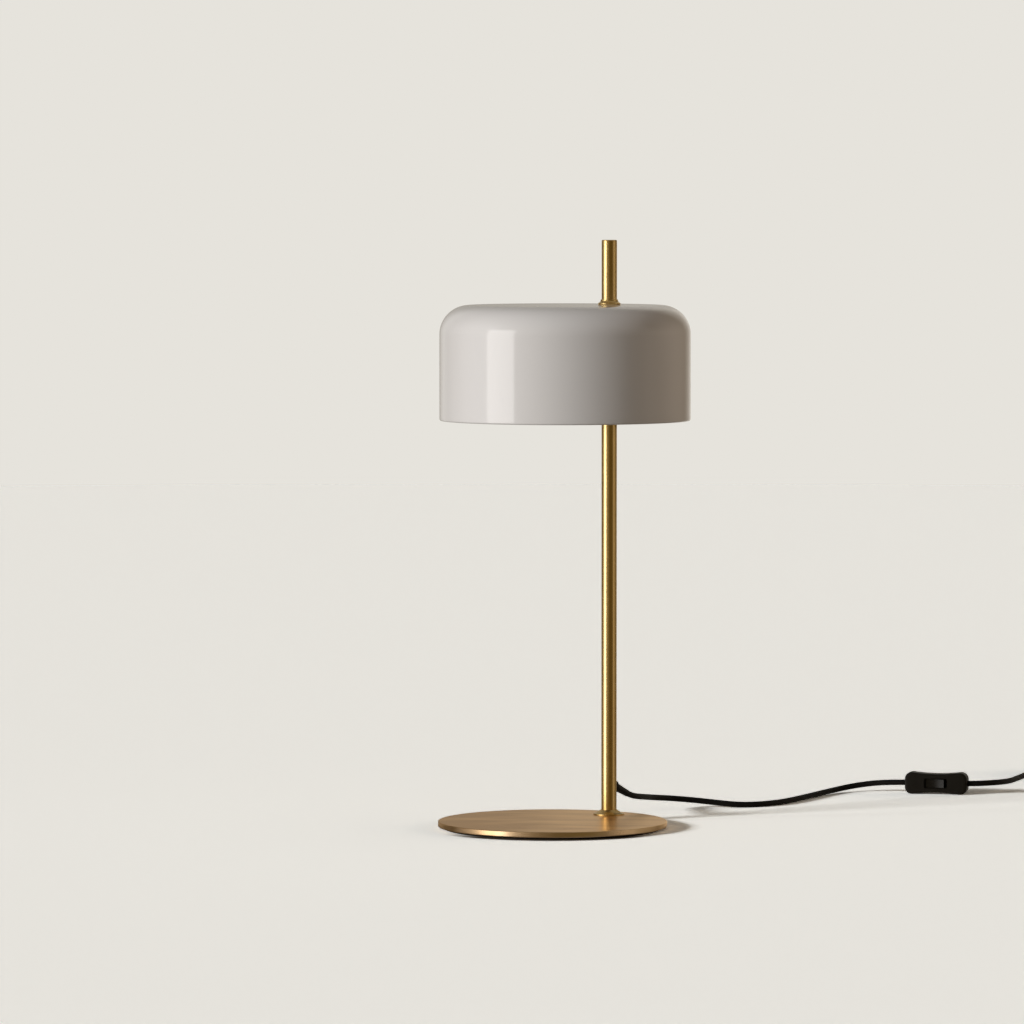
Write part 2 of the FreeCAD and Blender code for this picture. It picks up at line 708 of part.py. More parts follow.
plug_cord_route = [          # from the top of the coil to the plug
    (580.9, 583.0, 15.1),
    (581.2, 570.0, 14.6),
    (582.0, 557.0, 11.6),
    (583.2, 544.0, 8.6),
    (584.4, 530.5, 7.1),
    (585.0, 517.0, 6.9),
]


def make_cord():
    section = math.pi * cord_radius ** 2
    for name, route in (("cord_to_switch", switch_cord_route), ("cord_to_coil", coil_cord_route),
                        ("cord_to_plug", plug_cord_route)):
        cord, length, bends = bent_tube(route, cord_radius, free_share)
        nodes[name] = cord
        print(name, "length", round(length, 1), "volume ratio", round(cord.Volume / (section * length), 4),
              "bends", [round(bend) for bend in bends])

    half_width = coil_across * cord_radius
    inner = coil_diameter / 2 - half_width
    outer = coil_diameter / 2 + half_width
    high = tie_thickness + coil_layers * cord_diameter
    soft = cord_radius * coil_softness
    ring = turned([(inner, tie_thickness + soft), (inner + soft, tie_thickness),
                   (outer - soft, tie_thickness), (outer, tie_thickness + soft),
                   (outer, high - soft), (outer - soft, high), (inner + soft, high),
                   (inner, high - soft)], coil_x, coil_y)
    nodes["cord_coil"] = ring

    tie_start = FreeCAD.Vector(coil_x - tie_width / 2, coil_y + inner - loose_fit, tie_thickness)
    tie_span = outer - inner + 2 * loose_fit
    inside = Part.makeBox(tie_width, tie_span, high - tie_thickness, tie_start)
    outside = Part.makeBox(tie_width, tie_span + 2 * tie_thickness, high + tie_thickness,
                           tie_start - FreeCAD.Vector(0, tie_thickness, tie_thickness))
    nodes["coil_tie"] = outside.cut(inside)


def make_plug():
    middle = plug_thickness / 2
    back = plug_y - plug_tail
    front = back - plug_body_length
    half = plug_width / 2
    tail_half = plug_tail_width / 2
    shoulder = front + plug_shoulder * plug_body_length
    corner = half - plug_corner
    bevel = front + plug_corner
    corners = [(-corner, front), (corner, front), (half, bevel), (half, shoulder),
               (tail_half, back), (-tail_half, back), (-half, shoulder), (-half, bevel),
               (-corner, front)]
    outline = Part.makePolygon([FreeCAD.Vector(plug_x + x, y, 0) for x, y in corners])
    body = Part.Face(outline).extrude(FreeCAD.Vector(0, 0, plug_thickness))
    level_edges = [edge for edge in body.Edges if abs(edge.Vertexes[0].Z - edge.Vertexes[1].Z) < 0.001]
    body = body.makeFillet(plug_rounding, level_edges)
    tail = Part.makeCone(tail_half - plug_tail_step, cord_radius + plug_tail_lip, plug_tail,
                         FreeCAD.Vector(plug_x, back, middle), FreeCAD.Vector(0, 1, 0))
    body = body.fuse(tail).removeSplitter()
    pins = []
    for side in (-1, 1):
        root = FreeCAD.Vector(plug_x + side * pin_spacing / 2, front + pin_root, middle)
        sleeve = rod(root, FreeCAD.Vector(0, -1, 0), pin_sleeve_diameter / 2, pin_root + pin_sleeve)
        bare = rod(root + FreeCAD.Vector(0, -pin_root - pin_sleeve, 0), FreeCAD.Vector(0, -1, 0),
                   pin_diameter / 2, pin_length - pin_sleeve)
        tip = max(bare.Edges, key=lambda edge: -edge.CenterOfMass.y)
        bare = bare.makeFillet(pin_diameter / 4, [tip])
        pins.append(sleeve.fuse(bare).removeSplitter())
    nodes["plug_body"] = body.cut(pins[0]).cut(pins[1])
    nodes["plug_pins"] = Part.makeCompound(pins)


# ---------------------------------------------------------------- inline switch

def at_switch(shape):
    """Moves a piece from the switch's own frame to its place on the cord."""
    shape.rotate(FreeCAD.Vector(0, 0, 0), FreeCAD.Vector(0, 0, 1), switch_turn)
    shape.translate(FreeCAD.Vector(switch_x, switch_y, switch_z))
    return shape


def switch_outline():
    """Waisted outline of the housing, in its own X (length) and Z (height); all arcs are tangent."""
    end = switch_length / 2
    waist = switch_waist / 2
    corner = switch_corner
    crest = end - corner
    centre = switch_height / 2 - corner
    drop = waist - centre
    sweep = (crest ** 2 + drop ** 2 - corner ** 2) / (2 * (corner - drop))
    lean = math.asin(crest / (corner + sweep))
    join_x = crest - corner * math.sin(lean)
    join_z = centre + corner * math.cos(lean)
    half_x, half_z = midway((crest, centre), corner, (90 + math.degrees(lean)) / 2)
    return flat_face([(join_x, join_z),
                      ((half_x, half_z), (end, centre)), (end, -centre),
                      ((half_x, -half_z), (join_x, -join_z)),
                      ((0, -waist), (-join_x, -join_z)),
                      ((-half_x, -half_z), (-end, -centre)), (-end, centre),
                      ((-half_x, half_z), (-join_x, join_z)),
                      ((0, waist), (join_x, join_z))])


def centred_box(length, depth, height, front):
    """Box centred on X and Z whose front is at y = front."""
    return Part.makeBox(length, depth, height, FreeCAD.Vector(-length / 2, front, -height / 2))


def make_switch():
    face = -switch_thickness / 2
    back = switch_thickness / 2
    pivot = face + rocker_pivot_depth
    corner_reach = math.hypot(rocker_length / 2, rocker_pivot_depth + rocker_proud)
    opening_length = 2 * corner_reach + 2 * rocker_gap
    opening_height = rocker_height + 2 * rocker_gap
    cavity_length = opening_length + 2 * cavity_margin
    cavity_height = opening_height + 2 * rocker_pin_diameter
    cavity_front = face + recess_depth + switch_wall
    cavity_back = back - switch_wall - cavity_floor

    back_cover = switch_outline().extrude(FreeCAD.Vector(0, back, 0))
    front_cover = back_cover.translated(FreeCAD.Vector(0, face, 0))
    covers = []
    for cover, outer in ((front_cover, face), (back_cover, back)):
        rim = [edge for edge in cover.Edges
               if all(abs(vertex.Y - outer) < 0.001 for vertex in edge.Vertexes)]
        covers.append(cover.makeFillet(switch_rounding, rim))
    front_cover, back_cover = covers

    recess = centred_box(recess_length, recess_depth, recess_height, face)
    recess = recess.makeFillet(recess_corner, [edge for edge in recess.Edges
                                     if abs(edge.Vertexes[0].Y - edge.Vertexes[1].Y) > recess_depth / 2])
    opening = centred_box(opening_length, switch_thickness / 2, opening_height, face)
    front_cavity = centred_box(cavity_length, -cavity_front, cavity_height, cavity_front)
    back_cavity = centred_box(cavity_length, cavity_back, cavity_height, 0)

    pivot_length = cavity_height + 2 * pin_hold
    pin = rod(FreeCAD.Vector(0, pivot, -pivot_length / 2), FreeCAD.Vector(0, 0, 1),
              rocker_pin_diameter / 2, pivot_length)
    entries = []
    for side in (-1, 1):
        mouth = FreeCAD.Vector(side * switch_length / 2, 0, 0)
        entries.append(rod(mouth, FreeCAD.Vector(-side, 0, 0), cord_radius, cord_entry))

    screws = []
    screw_holes = []
    for side in (-1, 1):
        x = side * switch_screw_span / 2
        start = FreeCAD.Vector(x, back - screw_sink, switch_height / 5)
        inward = FreeCAD.Vector(0, -1, 0)
        head = rod(start, inward, switch_screw_head / 2, screw_head_depth)
        slot = Part.makeBox(switch_screw_head, screw_slot_depth, screw_slot_width,
                            start - FreeCAD.Vector(switch_screw_head / 2, screw_slot_depth,
                                                   screw_slot_width / 2))
        shank = rod(start, inward, switch_screw_diameter / 2, start.y + screw_bite)
        screws.append(head.fuse(shank).removeSplitter().cut(slot))
        mouth = FreeCAD.Vector(x, back, start.z)
        screw_holes.append(rod(mouth, inward, switch_screw_head / 2 + loose_fit,
                               screw_head_depth + screw_sink))
        screw_holes.append(rod(mouth, inward, switch_screw_diameter / 2, back + screw_bite))

    for cutter in [recess, opening, front_cavity, pin] + entries + screw_holes:
        front_cover = front_cover.cut(cutter)
    for cutter in [back_cavity] + entries + screw_holes:
        back_cover = back_cover.cut(cutter)
    nodes["switch_front"] = at_switch(front_cover)
    nodes["switch_back"] = at_switch(back_cover)
    nodes["switch_screws"] = at_switch(Part.makeCompound(screws))

    half = rocker_length / 2
    top = face - rocker_proud
    boss = rocker_pin_diameter / 2 + rocker_boss
    level = flat_face([(-half, top), ((0, top + rocker_hollow), (half, top)),
                       (half - rocker_taper, pivot), (boss, pivot + boss), (-boss, pivot + boss),
                       (-half + rocker_taper, pivot)])
    level.rotate(FreeCAD.Vector(0, 0, 0), FreeCAD.Vector(1, 0, 0), -90)
    level.translate(FreeCAD.Vector(0, 0, -rocker_height / 2))
    rocker = level.extrude(FreeCAD.Vector(0, 0, rocker_height))
    bore = rod(FreeCAD.Vector(0, pivot, -rocker_height), FreeCAD.Vector(0, 0, 1),
               rocker_pin_diameter / 2 + running_fit, 2 * rocker_height)
    rocker = rocker.cut(bore)
    rocker.rotate(FreeCAD.Vector(0, pivot, 0), FreeCAD.Vector(0, 0, 1), -rocker_throw)
    nodes["rocker"] = at_switch(rocker)
    nodes["rocker_pin"] = at_switch(pin)

    contacts = []
    for side in (-1, 1):
        foot = centred_box(contact_foot_length, contact_strip, contact_foot_height,
                           cavity_back - contact_strip)
        post = centred_box(contact_post_width, contact_post_rise + contact_strip, contact_post_height,
                           cavity_back - contact_post_rise - contact_strip)
        contact = foot.fuse(post).removeSplitter()
        contacts.append(contact.translated(FreeCAD.Vector(side * contact_place, 0, 0)))
    nodes["switch_contacts"] = at_switch(Part.makeCompound(contacts))


make_foot()
make_stem()
make_leads()
make_slider()
make_shade()
make_lampholder()
make_bulb()
make_cord()
make_plug()
make_switch()

for name, shape in nodes.items():
    shape.exportStep("parts/" + name + ".step")
print(len(nodes), "nodes")
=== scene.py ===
# %% [markdown]
# # A desk lamp: brass foot and stem, grey enamelled drum shade, black cord
#
# The lamp's pieces were first made as exact solids.  This lesson loads them as a fixed frame
# and dresses them: smooth surfaces where the solids have facets, a cord that bends like a cord,
# and finishes for brass, enamel, plastic, textile and rubber.  Everything is in metres, in the
# frame of the solids: the origin is the middle of the foot on the desk and +Z is up.

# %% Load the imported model
import json
import math

import bmesh
import bpy
from mathutils import Matrix, Vector

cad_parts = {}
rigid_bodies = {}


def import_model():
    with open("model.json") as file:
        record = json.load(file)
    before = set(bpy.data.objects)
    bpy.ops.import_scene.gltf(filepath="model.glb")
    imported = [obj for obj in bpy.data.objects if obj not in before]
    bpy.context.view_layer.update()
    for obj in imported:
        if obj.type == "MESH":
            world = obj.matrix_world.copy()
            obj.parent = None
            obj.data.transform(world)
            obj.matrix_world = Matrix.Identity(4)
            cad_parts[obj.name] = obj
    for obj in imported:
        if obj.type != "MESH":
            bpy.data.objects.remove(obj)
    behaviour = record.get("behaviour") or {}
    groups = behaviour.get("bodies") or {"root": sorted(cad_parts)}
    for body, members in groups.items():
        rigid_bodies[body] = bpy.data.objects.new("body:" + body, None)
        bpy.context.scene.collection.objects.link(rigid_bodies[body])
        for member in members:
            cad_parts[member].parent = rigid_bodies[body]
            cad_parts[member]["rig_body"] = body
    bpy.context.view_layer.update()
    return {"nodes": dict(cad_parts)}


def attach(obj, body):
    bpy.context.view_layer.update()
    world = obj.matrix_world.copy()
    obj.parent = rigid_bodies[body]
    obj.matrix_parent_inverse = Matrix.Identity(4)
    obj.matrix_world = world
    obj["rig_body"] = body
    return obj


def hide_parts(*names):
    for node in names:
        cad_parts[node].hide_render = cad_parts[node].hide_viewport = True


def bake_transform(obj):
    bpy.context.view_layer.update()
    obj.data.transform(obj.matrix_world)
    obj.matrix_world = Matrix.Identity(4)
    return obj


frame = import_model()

mm = 0.001

# %% A new object in the scene
def placed(name, data):
    thing = bpy.data.objects.new(name, data)
    bpy.context.scene.collection.objects.link(thing)
    return thing


# %% [markdown]
# ## The camera
#
# The photograph was taken from far away with a long lens, a little above the shade and looking
# slightly down.  The lens was worked out from the foot's outline, whose width and height give
# the angle, and from the stem, whose top and bottom give the distance.

# %% The camera
SENSOR_WIDTH, FOCAL_LENGTH = 36.0, 222.12
CAMERA_PLACE = (-0.0393, -6.097, 0.6245)
CAMERA_DIP = 2.983
SIGHT_LIMIT = 60.0

camera_data = bpy.data.cameras.new("camera")
camera_data.sensor_width = SENSOR_WIDTH
camera_data.lens = FOCAL_LENGTH
camera_data.clip_end = SIGHT_LIMIT
camera = placed("camera", camera_data)
camera.location = CAMERA_PLACE
camera.rotation_euler = (math.radians(90 - CAMERA_DIP), 0, 0)
bpy.context.scene.camera = camera
print("camera at", tuple(camera.location))

# %% [markdown]
# ## Sums with sockets
#
# A finish is a recipe of nodes, and most of a recipe is sums.  Written out node by node, even
# `1 - mask * 0.2` takes a dozen lines.  The class below holds one socket and answers to the
# usual signs, so a sum on sockets reads like a sum on numbers and adds its nodes as it goes.
# A board is one node tree, with a single way to add any other kind of node.

# %% Sockets that can be added and multiplied
class Wire:
    """One output socket.  Arithmetic on it adds the Math nodes that work the sum out."""

    def __init__(self, board, socket):
        self.board = board
        self.socket = socket

    def output(self, name):
        return Wire(self.board, self.socket.node.outputs[name])

    def math(self, operation, first, second=0.0):
        return self.board.add("ShaderNodeMath", {"operation": operation}, {0: first, 1: second})

    def __add__(self, other):
        return self.math("ADD", self, other)

    def __radd__(self, other):
        return self.math("ADD", other, self)

    def __sub__(self, other):
        return self.math("SUBTRACT", self, other)

    def __rsub__(self, other):
        return self.math("SUBTRACT", other, self)

    def __mul__(self, other):
        return self.math("MULTIPLY", self, other)

    def __truediv__(self, other):
        return self.math("DIVIDE", self, other)

    def __mod__(self, other):
        return self.math("FLOORED_MODULO", self, other)

    def __pow__(self, other):
        return self.math("POWER", self, other)

    def floor(self):
        return self.math("FLOOR", self)

    def sine(self):
        return self.math("SINE", self)

    def size(self):
        return self.math("ABSOLUTE", self)

    def above(self, other):
        return self.math("GREATER_THAN", self, other)

    def clamped(self):
        return self.board.add("ShaderNodeClamp", {}, {"Value": self})


class Board:
    """A node tree, for a finish or for geometry, and the one way to add a node to it."""

    def __init__(self, tree):
        self.tree = tree

    def add(self, kind, settings=None, inputs=None, output=0):
        node = self.tree.nodes.new(kind)
        for name, value in (settings or {}).items():
            if name == "stops":
                ramp = node.color_ramp
                while len(ramp.elements) < len(value):
                    ramp.elements.new(0.5)
                for element, (place, colour) in zip(ramp.elements, value):
                    element.position = place
                    element.color = (*colour, 1.0)
            else:
                setattr(node, name, value)
        for name, value in (inputs or {}).items():
            if isinstance(value, Wire):
                self.tree.links.new(value.socket, node.inputs[name])
            else:
                node.inputs[name].default_value = value
        return Wire(self, node.outputs[output]) if len(node.outputs) else None

    def mixed(self, share, first, second):
        """Colour that goes from first to second as share goes from 0 to 1."""
        return self.add("ShaderNodeMix", {"data_type": "RGBA"}, {0: share, 6: first, 7: second}, 2)

    def smooth(self, value, start, end):
        """0 where value is below start, 1 where it is above end, and smooth between."""
        return self.add("ShaderNodeMapRange", {"interpolation_type": "SMOOTHSTEP"},
                        {"Value": value, "From Min": start, "From Max": end})


# %% [markdown]
# ## The free cord
#
# A mains cord is a fixed length of something springy.  It leaves the stem pointing down, lands
# behind the foot, wanders along the desk, passes through the inline switch and leaves the
# picture at the right.  The length that the picture doesn't show is wound into a neat tied coil
# just past the edge, with the plug beside it.  A NURBS spline with the route's points as its
# control points bends the way a cord does, because no control point pulls harder than another.

# %% Routes of the cord
# The first stretch follows the photograph, and so lies up to eleven millimetres beside the
# solids' tube.  The other two have the solids' own points.
CORD_THICKNESS = 5.8 * mm

gland_to_switch = [
    (72.2, 83.4, 26.8), (77.4, 91.6, 23.2), (84.0, 105, 20.8), (91, 128, 18.1), (97, 152, 15.4),
    (104.5, 172.5, 13), (119, 192, 10.5), (140, 202, 7.9), (163, 204, 5.2), (186, 200, 3.1),
    (208, 206, 2.9), (227, 224, 2.9), (243, 251, 2.9), (262, 292, 2.9), (279, 330, 2.9),
    (292.5, 353, 3.6), (308, 366, 5.7), (328, 367.5, 8.6), (347.4, 356.1, 11),
    (369.1, 351.1, 11.25)]
switch_to_coil = [
    (421.7, 338.9, 11.25), (432.4, 336.4, 11.3), (444, 338.2, 11.6), (454.4, 344.4, 11.7),
    (463, 355, 11.3), (470.5, 373, 10.4), (478, 403, 8.9), (486, 444, 6.9), (495, 489, 4.7),
    (503.5, 530, 3.2), (509.6, 558, 2.9)]
coil_to_plug = [
    (581.2, 570, 14.6), (582, 557, 11.6), (583.2, 544, 8.6), (584.4, 530.5, 7.1), (585, 517, 6.9)]

# %% The coil's turns: outer and inner turn of the lowest layer, then back up over them
COIL_MIDDLE = (546.0, 583.0)
COIL_TURNS = 4.5
OUTER_TURN, INNER_TURN = 34.9, 29.1
LOWEST_LAYER, LAYER_STEP = 3.5, 5.8
CROSSES_IN, CROSSES_OUT = (0.78, 1.02), (2.5, 2.78)
FIRST_CLIMB, SECOND_CLIMB = (1.64, 1.9), (3.36, 3.64)
TURNS_PER_POINT = 1 / 14


def eased(turn, start, end):
    """0 before start, 1 after end, and smooth between."""
    share = min(max((turn - start) / (end - start), 0.0), 1.0)
    return share * share * (3 - 2 * share)


def coil_point(turn):
    """The cord's centre after so many turns, clockwise seen from above, from the coil's left."""
    inward = eased(turn, *CROSSES_IN) - eased(turn, *CROSSES_OUT)
    layer = eased(turn, *FIRST_CLIMB) + eased(turn, *SECOND_CLIMB)
    reach = OUTER_TURN + (INNER_TURN - OUTER_TURN) * inward
    angle = math.pi - 2 * math.pi * turn
    return (COIL_MIDDLE[0] + reach * math.cos(angle), COIL_MIDDLE[1] + reach * math.sin(angle),
            LOWEST_LAYER + LAYER_STEP * layer)


coil_points = [coil_point(step * TURNS_PER_POINT)
               for step in range(int(COIL_TURNS / TURNS_PER_POINT) + 1)]
switch_to_plug = switch_to_coil + coil_points + coil_to_plug
print("coil points:", len(coil_points))


# %% A route as a smooth curve
def cord_route(name, points):
    """A bare NURBS curve with these control points, in millimetres."""
    data = bpy.data.curves.new(name, "CURVE")
    data.dimensions = "3D"
    data.resolution_u = 10
    spline = data.splines.new("NURBS")
    spline.points.add(len(points) - 1)
    for point, (x, y, z) in zip(spline.points, points):
        point.co = (x * mm, y * mm, z * mm, 1.0)
    spline.order_u = 3
    spline.use_endpoint_u = True
    return placed(name, data)


def points_along(route):
    """The points of the evaluated spline, in order."""
    evaluated = route.evaluated_get(bpy.context.evaluated_depsgraph_get())
    line = bpy.data.meshes.new_from_object(evaluated)
    points = [vertex.co.copy() for vertex in line.vertices]
    bpy.data.meshes.remove(line)
    return points


# %% [markdown]
# ## Finishes
#
# Every finish starts from one Principled shader.  What is the same all over is set on its
# sockets, and what varies, such as mottling, brushing or grain, is worked out from Object
# coordinates, because those stay on the piece when it moves.

# %% A finish with one shader
class Finish(Board):
    """A material with one Principled shader whose constant sockets are given by name."""

    def __init__(self, name, colour, **constants):
        self.material = bpy.data.materials.new(name)
        self.material.use_nodes = True
        super().__init__(self.material.node_tree)
        self.shader = next(node for node in self.tree.nodes if node.type == "BSDF_PRINCIPLED")
        self.shader.inputs["Base Color"].default_value = (*colour, 1.0)
        for socket, value in constants.items():
            self.shader.inputs[socket.replace("_", " ")].default_value = value
        self.place = self.add("ShaderNodeTexCoord", output=3)

    def varies(self, socket, value):
        self.tree.links.new(value.socket, self.shader.inputs[socket])

    def stretched(self, scale):
        """Object coordinates with each axis multiplied."""
        return self.add("ShaderNodeMapping", {}, {"Vector": self.place, "Scale": scale})

    def noise(self, where, scale, detail=2.0, roughness=0.5):
        return self.add("ShaderNodeTexNoise", {},
                        {"Vector": where, "Scale": scale, "Detail": detail, "Roughness": roughness})

    def relief(self, height, depth, strength=1.0):
        """Bump of a height from 0 to 1 that stands for depth metres."""
        bump = {"Height": height, "Distance": depth, "Strength": strength}
        self.varies("Normal", self.add("ShaderNodeBump", {}, bump))


# %% [markdown]
# ### Brass
#
# The stem, its collars and cap were turned on a lathe and brushed while they spun, so their
# scratches are fine rings: noise that is squeezed along the stem and drawn out around it.  The
# foot was brushed straight across instead.  A lacquer over both keeps them from tarnishing.

# %% Satin brass, brushed in rings
RING_GRAIN, RING_DEPTH = (60, 60, 9000), 0.000006
DARK_BRASS, LIGHT_BRASS = (0.76, 0.54, 0.22, 1), (0.84, 0.62, 0.285, 1)


def ringed_brass(name, roughness, dark=DARK_BRASS, light=LIGHT_BRASS):
    brass = Finish(name, (0.80, 0.58, 0.25), Metallic=1.0)
    rings = brass.noise(brass.stretched(RING_GRAIN), 1.0, 3.0, 0.6)
    cloud = brass.noise(brass.place, 55.0)
    brass.varies("Base Color", brass.mixed(cloud, dark, light))
    brass.varies("Roughness", roughness + rings * 0.10 + cloud * 0.04)
    brass.relief(rings, RING_DEPTH, 0.6)
    return brass.material


# %% Foot brass, brushed straight across, with a painted reflection: a broad pale band just right of the stem
BRUSH_GRAIN, BRUSH_DEPTH = (25, 5200, 900), 0.000014
CLOUD_STRETCH = (11, 34, 1)
SHEEN_BAND_X, SHEEN_BAND_REACH = 68 * mm, 0.16
DARK_FOOT, LIGHT_FOOT = (0.59, 0.40, 0.22, 1), (0.99, 0.76, 0.50, 1)


def straight_brass(name):
    brass = Finish(name, (0.78, 0.55, 0.33), Metallic=1.0, Specular_Tint=(0.93, 0.79, 0.63, 1))
    lines = brass.noise(brass.stretched(BRUSH_GRAIN), 1.0, 3.0, 0.65)
    cloud = brass.noise(brass.stretched(CLOUD_STRETCH), 1.0, 2.0, 0.45)
    across = brass.add("ShaderNodeSeparateXYZ", {}, {"Vector": brass.place}).output("X")
    # Painted reflection: the top is mixed toward the light brass in a broad band just right of the
    # stem, on top of random cloudy tone.
    painted_sheen_band = 1.0 - brass.smooth((across - SHEEN_BAND_X).size(), 0.0, SHEEN_BAND_REACH)
    cloud_and_painted_sheen = (painted_sheen_band * 0.85 + (cloud - 0.5) * 2.4 + 0.08).clamped()
    brass.varies("Base Color", brass.mixed(cloud_and_painted_sheen, DARK_FOOT, LIGHT_FOOT))
    brass.varies("Roughness", 0.20 + lines * 0.10 + cloud * 0.10)
    brass.relief(lines, BRUSH_DEPTH, 0.7)
    return brass.material


stem_brass = ringed_brass("stem_brass", 0.16)
collar_brass = ringed_brass("collar_brass", 0.20)
# The rim's brass is partly its turned finish and partly painted light: a brighter, yellower ringed
# brass for the lit edge.
rim_brass = ringed_brass("rim_brass", 0.30, (0.93, 0.71, 0.26, 1), (1.0, 0.79, 0.32, 1))
foot_brass = straight_brass("foot_brass")


# %% [markdown]
# ### Enamel
#
# The shade is sprayed with a glossy warm grey outside and a white inside that throws the light
# down.  Sprayed paint isn't quite flat: under a hard reflection it shows a very shallow orange
# peel a few millimetres across.

# %% Gloss enamel
PEEL_DEPTH = 0.000012


def enamel(name, light, dark, roughness):
    paint = Finish(name, light, IOR=1.5, Coat_Weight=0.35, Coat_Roughness=0.03)
    mottle = paint.noise(paint.place, 9.0)
    peel = paint.noise(paint.place, 420.0, 1.0)
    paint.varies("Base Color", paint.mixed(mottle, (*light, 1), (*dark, 1)))
    paint.varies("Roughness", roughness + mottle * 0.04)
    paint.relief(peel, PEEL_DEPTH, 0.35)
    return paint.material


shade_enamel = enamel("shade_enamel", (0.712, 0.685, 0.663), (0.694, 0.667, 0.645), 0.10)
lining_enamel = enamel("lining_enamel", (0.86, 0.85, 0.82), (0.83, 0.82, 0.79), 0.35)


# %% [markdown]
# ### Plastics, rubber and small metal
#
# A moulded cover has a fine spark-eroded grain, which is a small sharp noise in its relief.
# Rubber has a softer one and scatters more.  Plated steel is nearly smooth, with faint rings.

# %% One recipe for everything moulded
def moulded(name, colour, roughness, grain, depth, **constants):
    """grain is how fine the texture is, in spots to a metre, and depth how deep, in metres."""
    skin = Finish(name, colour, **constants)
    speckle = skin.noise(skin.place, grain, 2.0, 0.6)
    cloud = skin.noise(skin.place, 45.0)
    darker = tuple(0.82 * channel for channel in colour)
    skin.varies("Base Color", skin.mixed(cloud, (*colour, 1), (*darker, 1)))
    skin.varies("Roughness", roughness + speckle * 0.12)
    skin.relief(speckle, depth, 0.7)
    return skin.material


cover_plastic = moulded("cover_plastic", (0.0050, 0.0039, 0.0025), 0.40, 2600.0, 0.00003,
                        IOR=1.5, Specular_IOR_Level=0.25)
rocker_plastic = moulded("rocker_plastic", (0.0050, 0.0039, 0.0025), 0.22, 3200.0, 0.00001,
                         IOR=1.5, Specular_IOR_Level=0.22)
plug_plastic = moulded("plug_plastic", (0.014, 0.013, 0.012), 0.46, 2200.0, 0.00004, IOR=1.5)
gland_rubber = moulded("gland_rubber", (0.008, 0.0072, 0.006), 0.50, 1700.0, 0.00004,
                       IOR=1.5, Specular_IOR_Level=0.2)
white_nylon = moulded("white_nylon", (0.72, 0.70, 0.64), 0.40, 1500.0, 0.00002, IOR=1.53)
holder_plastic = moulded("holder_plastic", (0.78, 0.77, 0.73), 0.28, 1800.0, 0.00001, IOR=1.5)
lead_sheath = moulded("lead_sheath", (0.74, 0.73, 0.70), 0.38, 1200.0, 0.00002, IOR=1.5)
washer_plastic = moulded("washer_plastic", (0.02, 0.02, 0.02), 0.5, 1500.0, 0.00002, IOR=1.5)
foot_felt = moulded("foot_felt", (0.016, 0.015, 0.014), 0.85, 1400.0, 0.0004, IOR=1.45)


# %% One recipe for the small metal pieces
PLATE_GRAIN, PLATE_DEPTH = (300, 300, 4000), 0.000005


def plated(name, colour, roughness):
    metal = Finish(name, colour, Metallic=1.0)
    rings = metal.noise(metal.stretched(PLATE_GRAIN), 1.0, 2.0, 0.6)
    darker = tuple(0.88 * channel for channel in colour)
    cloud = metal.noise(metal.place, 130.0)
    metal.varies("Base Color", metal.mixed(cloud, (*colour, 1), (*darker, 1)))
    metal.varies("Roughness", roughness + rings * 0.15)
    metal.relief(rings, PLATE_DEPTH, 0.5)
    return metal.material


zinc_plate = plated("zinc_plate", (0.58, 0.59, 0.60), 0.26)
bare_steel = plated("bare_steel", (0.50, 0.49, 0.48), 0.22)
nickel_plate = plated("nickel_plate", (0.66, 0.63, 0.58), 0.12)
contact_metal = plated("contact_metal", (0.74, 0.56, 0.30), 0.22)
# The switch's contacts are made near black: painted shade, standing for the shadow inside the
# switch.
blackened_metal = plated("blackened_metal", (0.03, 0.028, 0.025), 0.35)


# %% [markdown]
# ### Opal glass
#
# The bulb is an opal globe: glass with a milky layer.  Light goes in, is scattered and comes
# out all round, so a white skin with a clear glossy coat looks right and stays cheap to render.

# %% Opal glass
def opal_glass(name):
    glass = Finish(name, (0.90, 0.89, 0.86), IOR=1.5, Coat_Weight=0.8, Coat_Roughness=0.02)
    milk = glass.noise(glass.place, 60.0)
    glass.varies("Base Color", glass.mixed(milk, (0.91, 0.90, 0.87, 1), (0.87, 0.86, 0.83, 1)))
    glass.varies("Roughness", 0.22 + milk * 0.06)
    return glass.material


opal = opal_glass("opal_glass")


# %% [markdown]
# ### Braided textile
#
# The cord wears a tight braid: two families of yarn that wind round it in opposite directions
# and pass over and under each other.  The cord's mesh carries two attributes, the direction
# round it and the distance along it, and the yarns are drawn on those, so that the braid
# follows every bend.

# %% Braided sheath
YARN_HEIGHT = 0.00022


def braid(name, colour, yarns, pitch):
    """Textile with so many yarns of each family; pitch is a yarn's full turn in metres."""
    sheath = Finish(name, colour, IOR=1.45, Specular_IOR_Level=0.15, Sheen_Weight=0.02,
                    Sheen_Roughness=0.5)
    around = sheath.add("ShaderNodeAttribute", {"attribute_name": "around"}, output=1)
    parts = sheath.add("ShaderNodeSeparateXYZ", {}, {"Vector": around})
    angle = parts.math("ARCTAN2", parts.output("Y"), parts.output("X")) / (2 * math.pi)
    along = sheath.add("ShaderNodeAttribute", {"attribute_name": "along"}, output=2)
    turns = along / pitch
    left = ((angle + turns) * (yarns * math.pi)).sine().size()
    right = ((angle - turns) * (yarns * math.pi)).sine().size()
    over = (((angle + turns) * yarns).floor() + ((angle - turns) * yarns).floor()) % 2.0
    height = left ** 0.7 * over + right ** 0.7 * (1.0 - over)
    # The braid's low parts, between and under the yarns, are painted darker: painted shade in its
    # grooves.
    dark = tuple(0.35 * channel for channel in colour)
    sheath.varies("Base Color", sheath.mixed(height.clamped(), (*dark, 1), (*colour, 1)))
    sheath.varies("Roughness", 0.86 - height * 0.18)
    sheath.relief(height, YARN_HEIGHT, 0.8)
    return sheath.material


cord_braid = braid("cord_braid", (0.0085, 0.0075, 0.0062), yarns=12.0, pitch=0.0105)


# %% [markdown]
# ## The cord's skin
#
# Geometry Nodes sweep a circle along the route.  The tree stores how far along the cord each
# ring is and which way round each point faces, for the braid, and the result is turned into a
# plain mesh because the export keeps meshes and not trees.

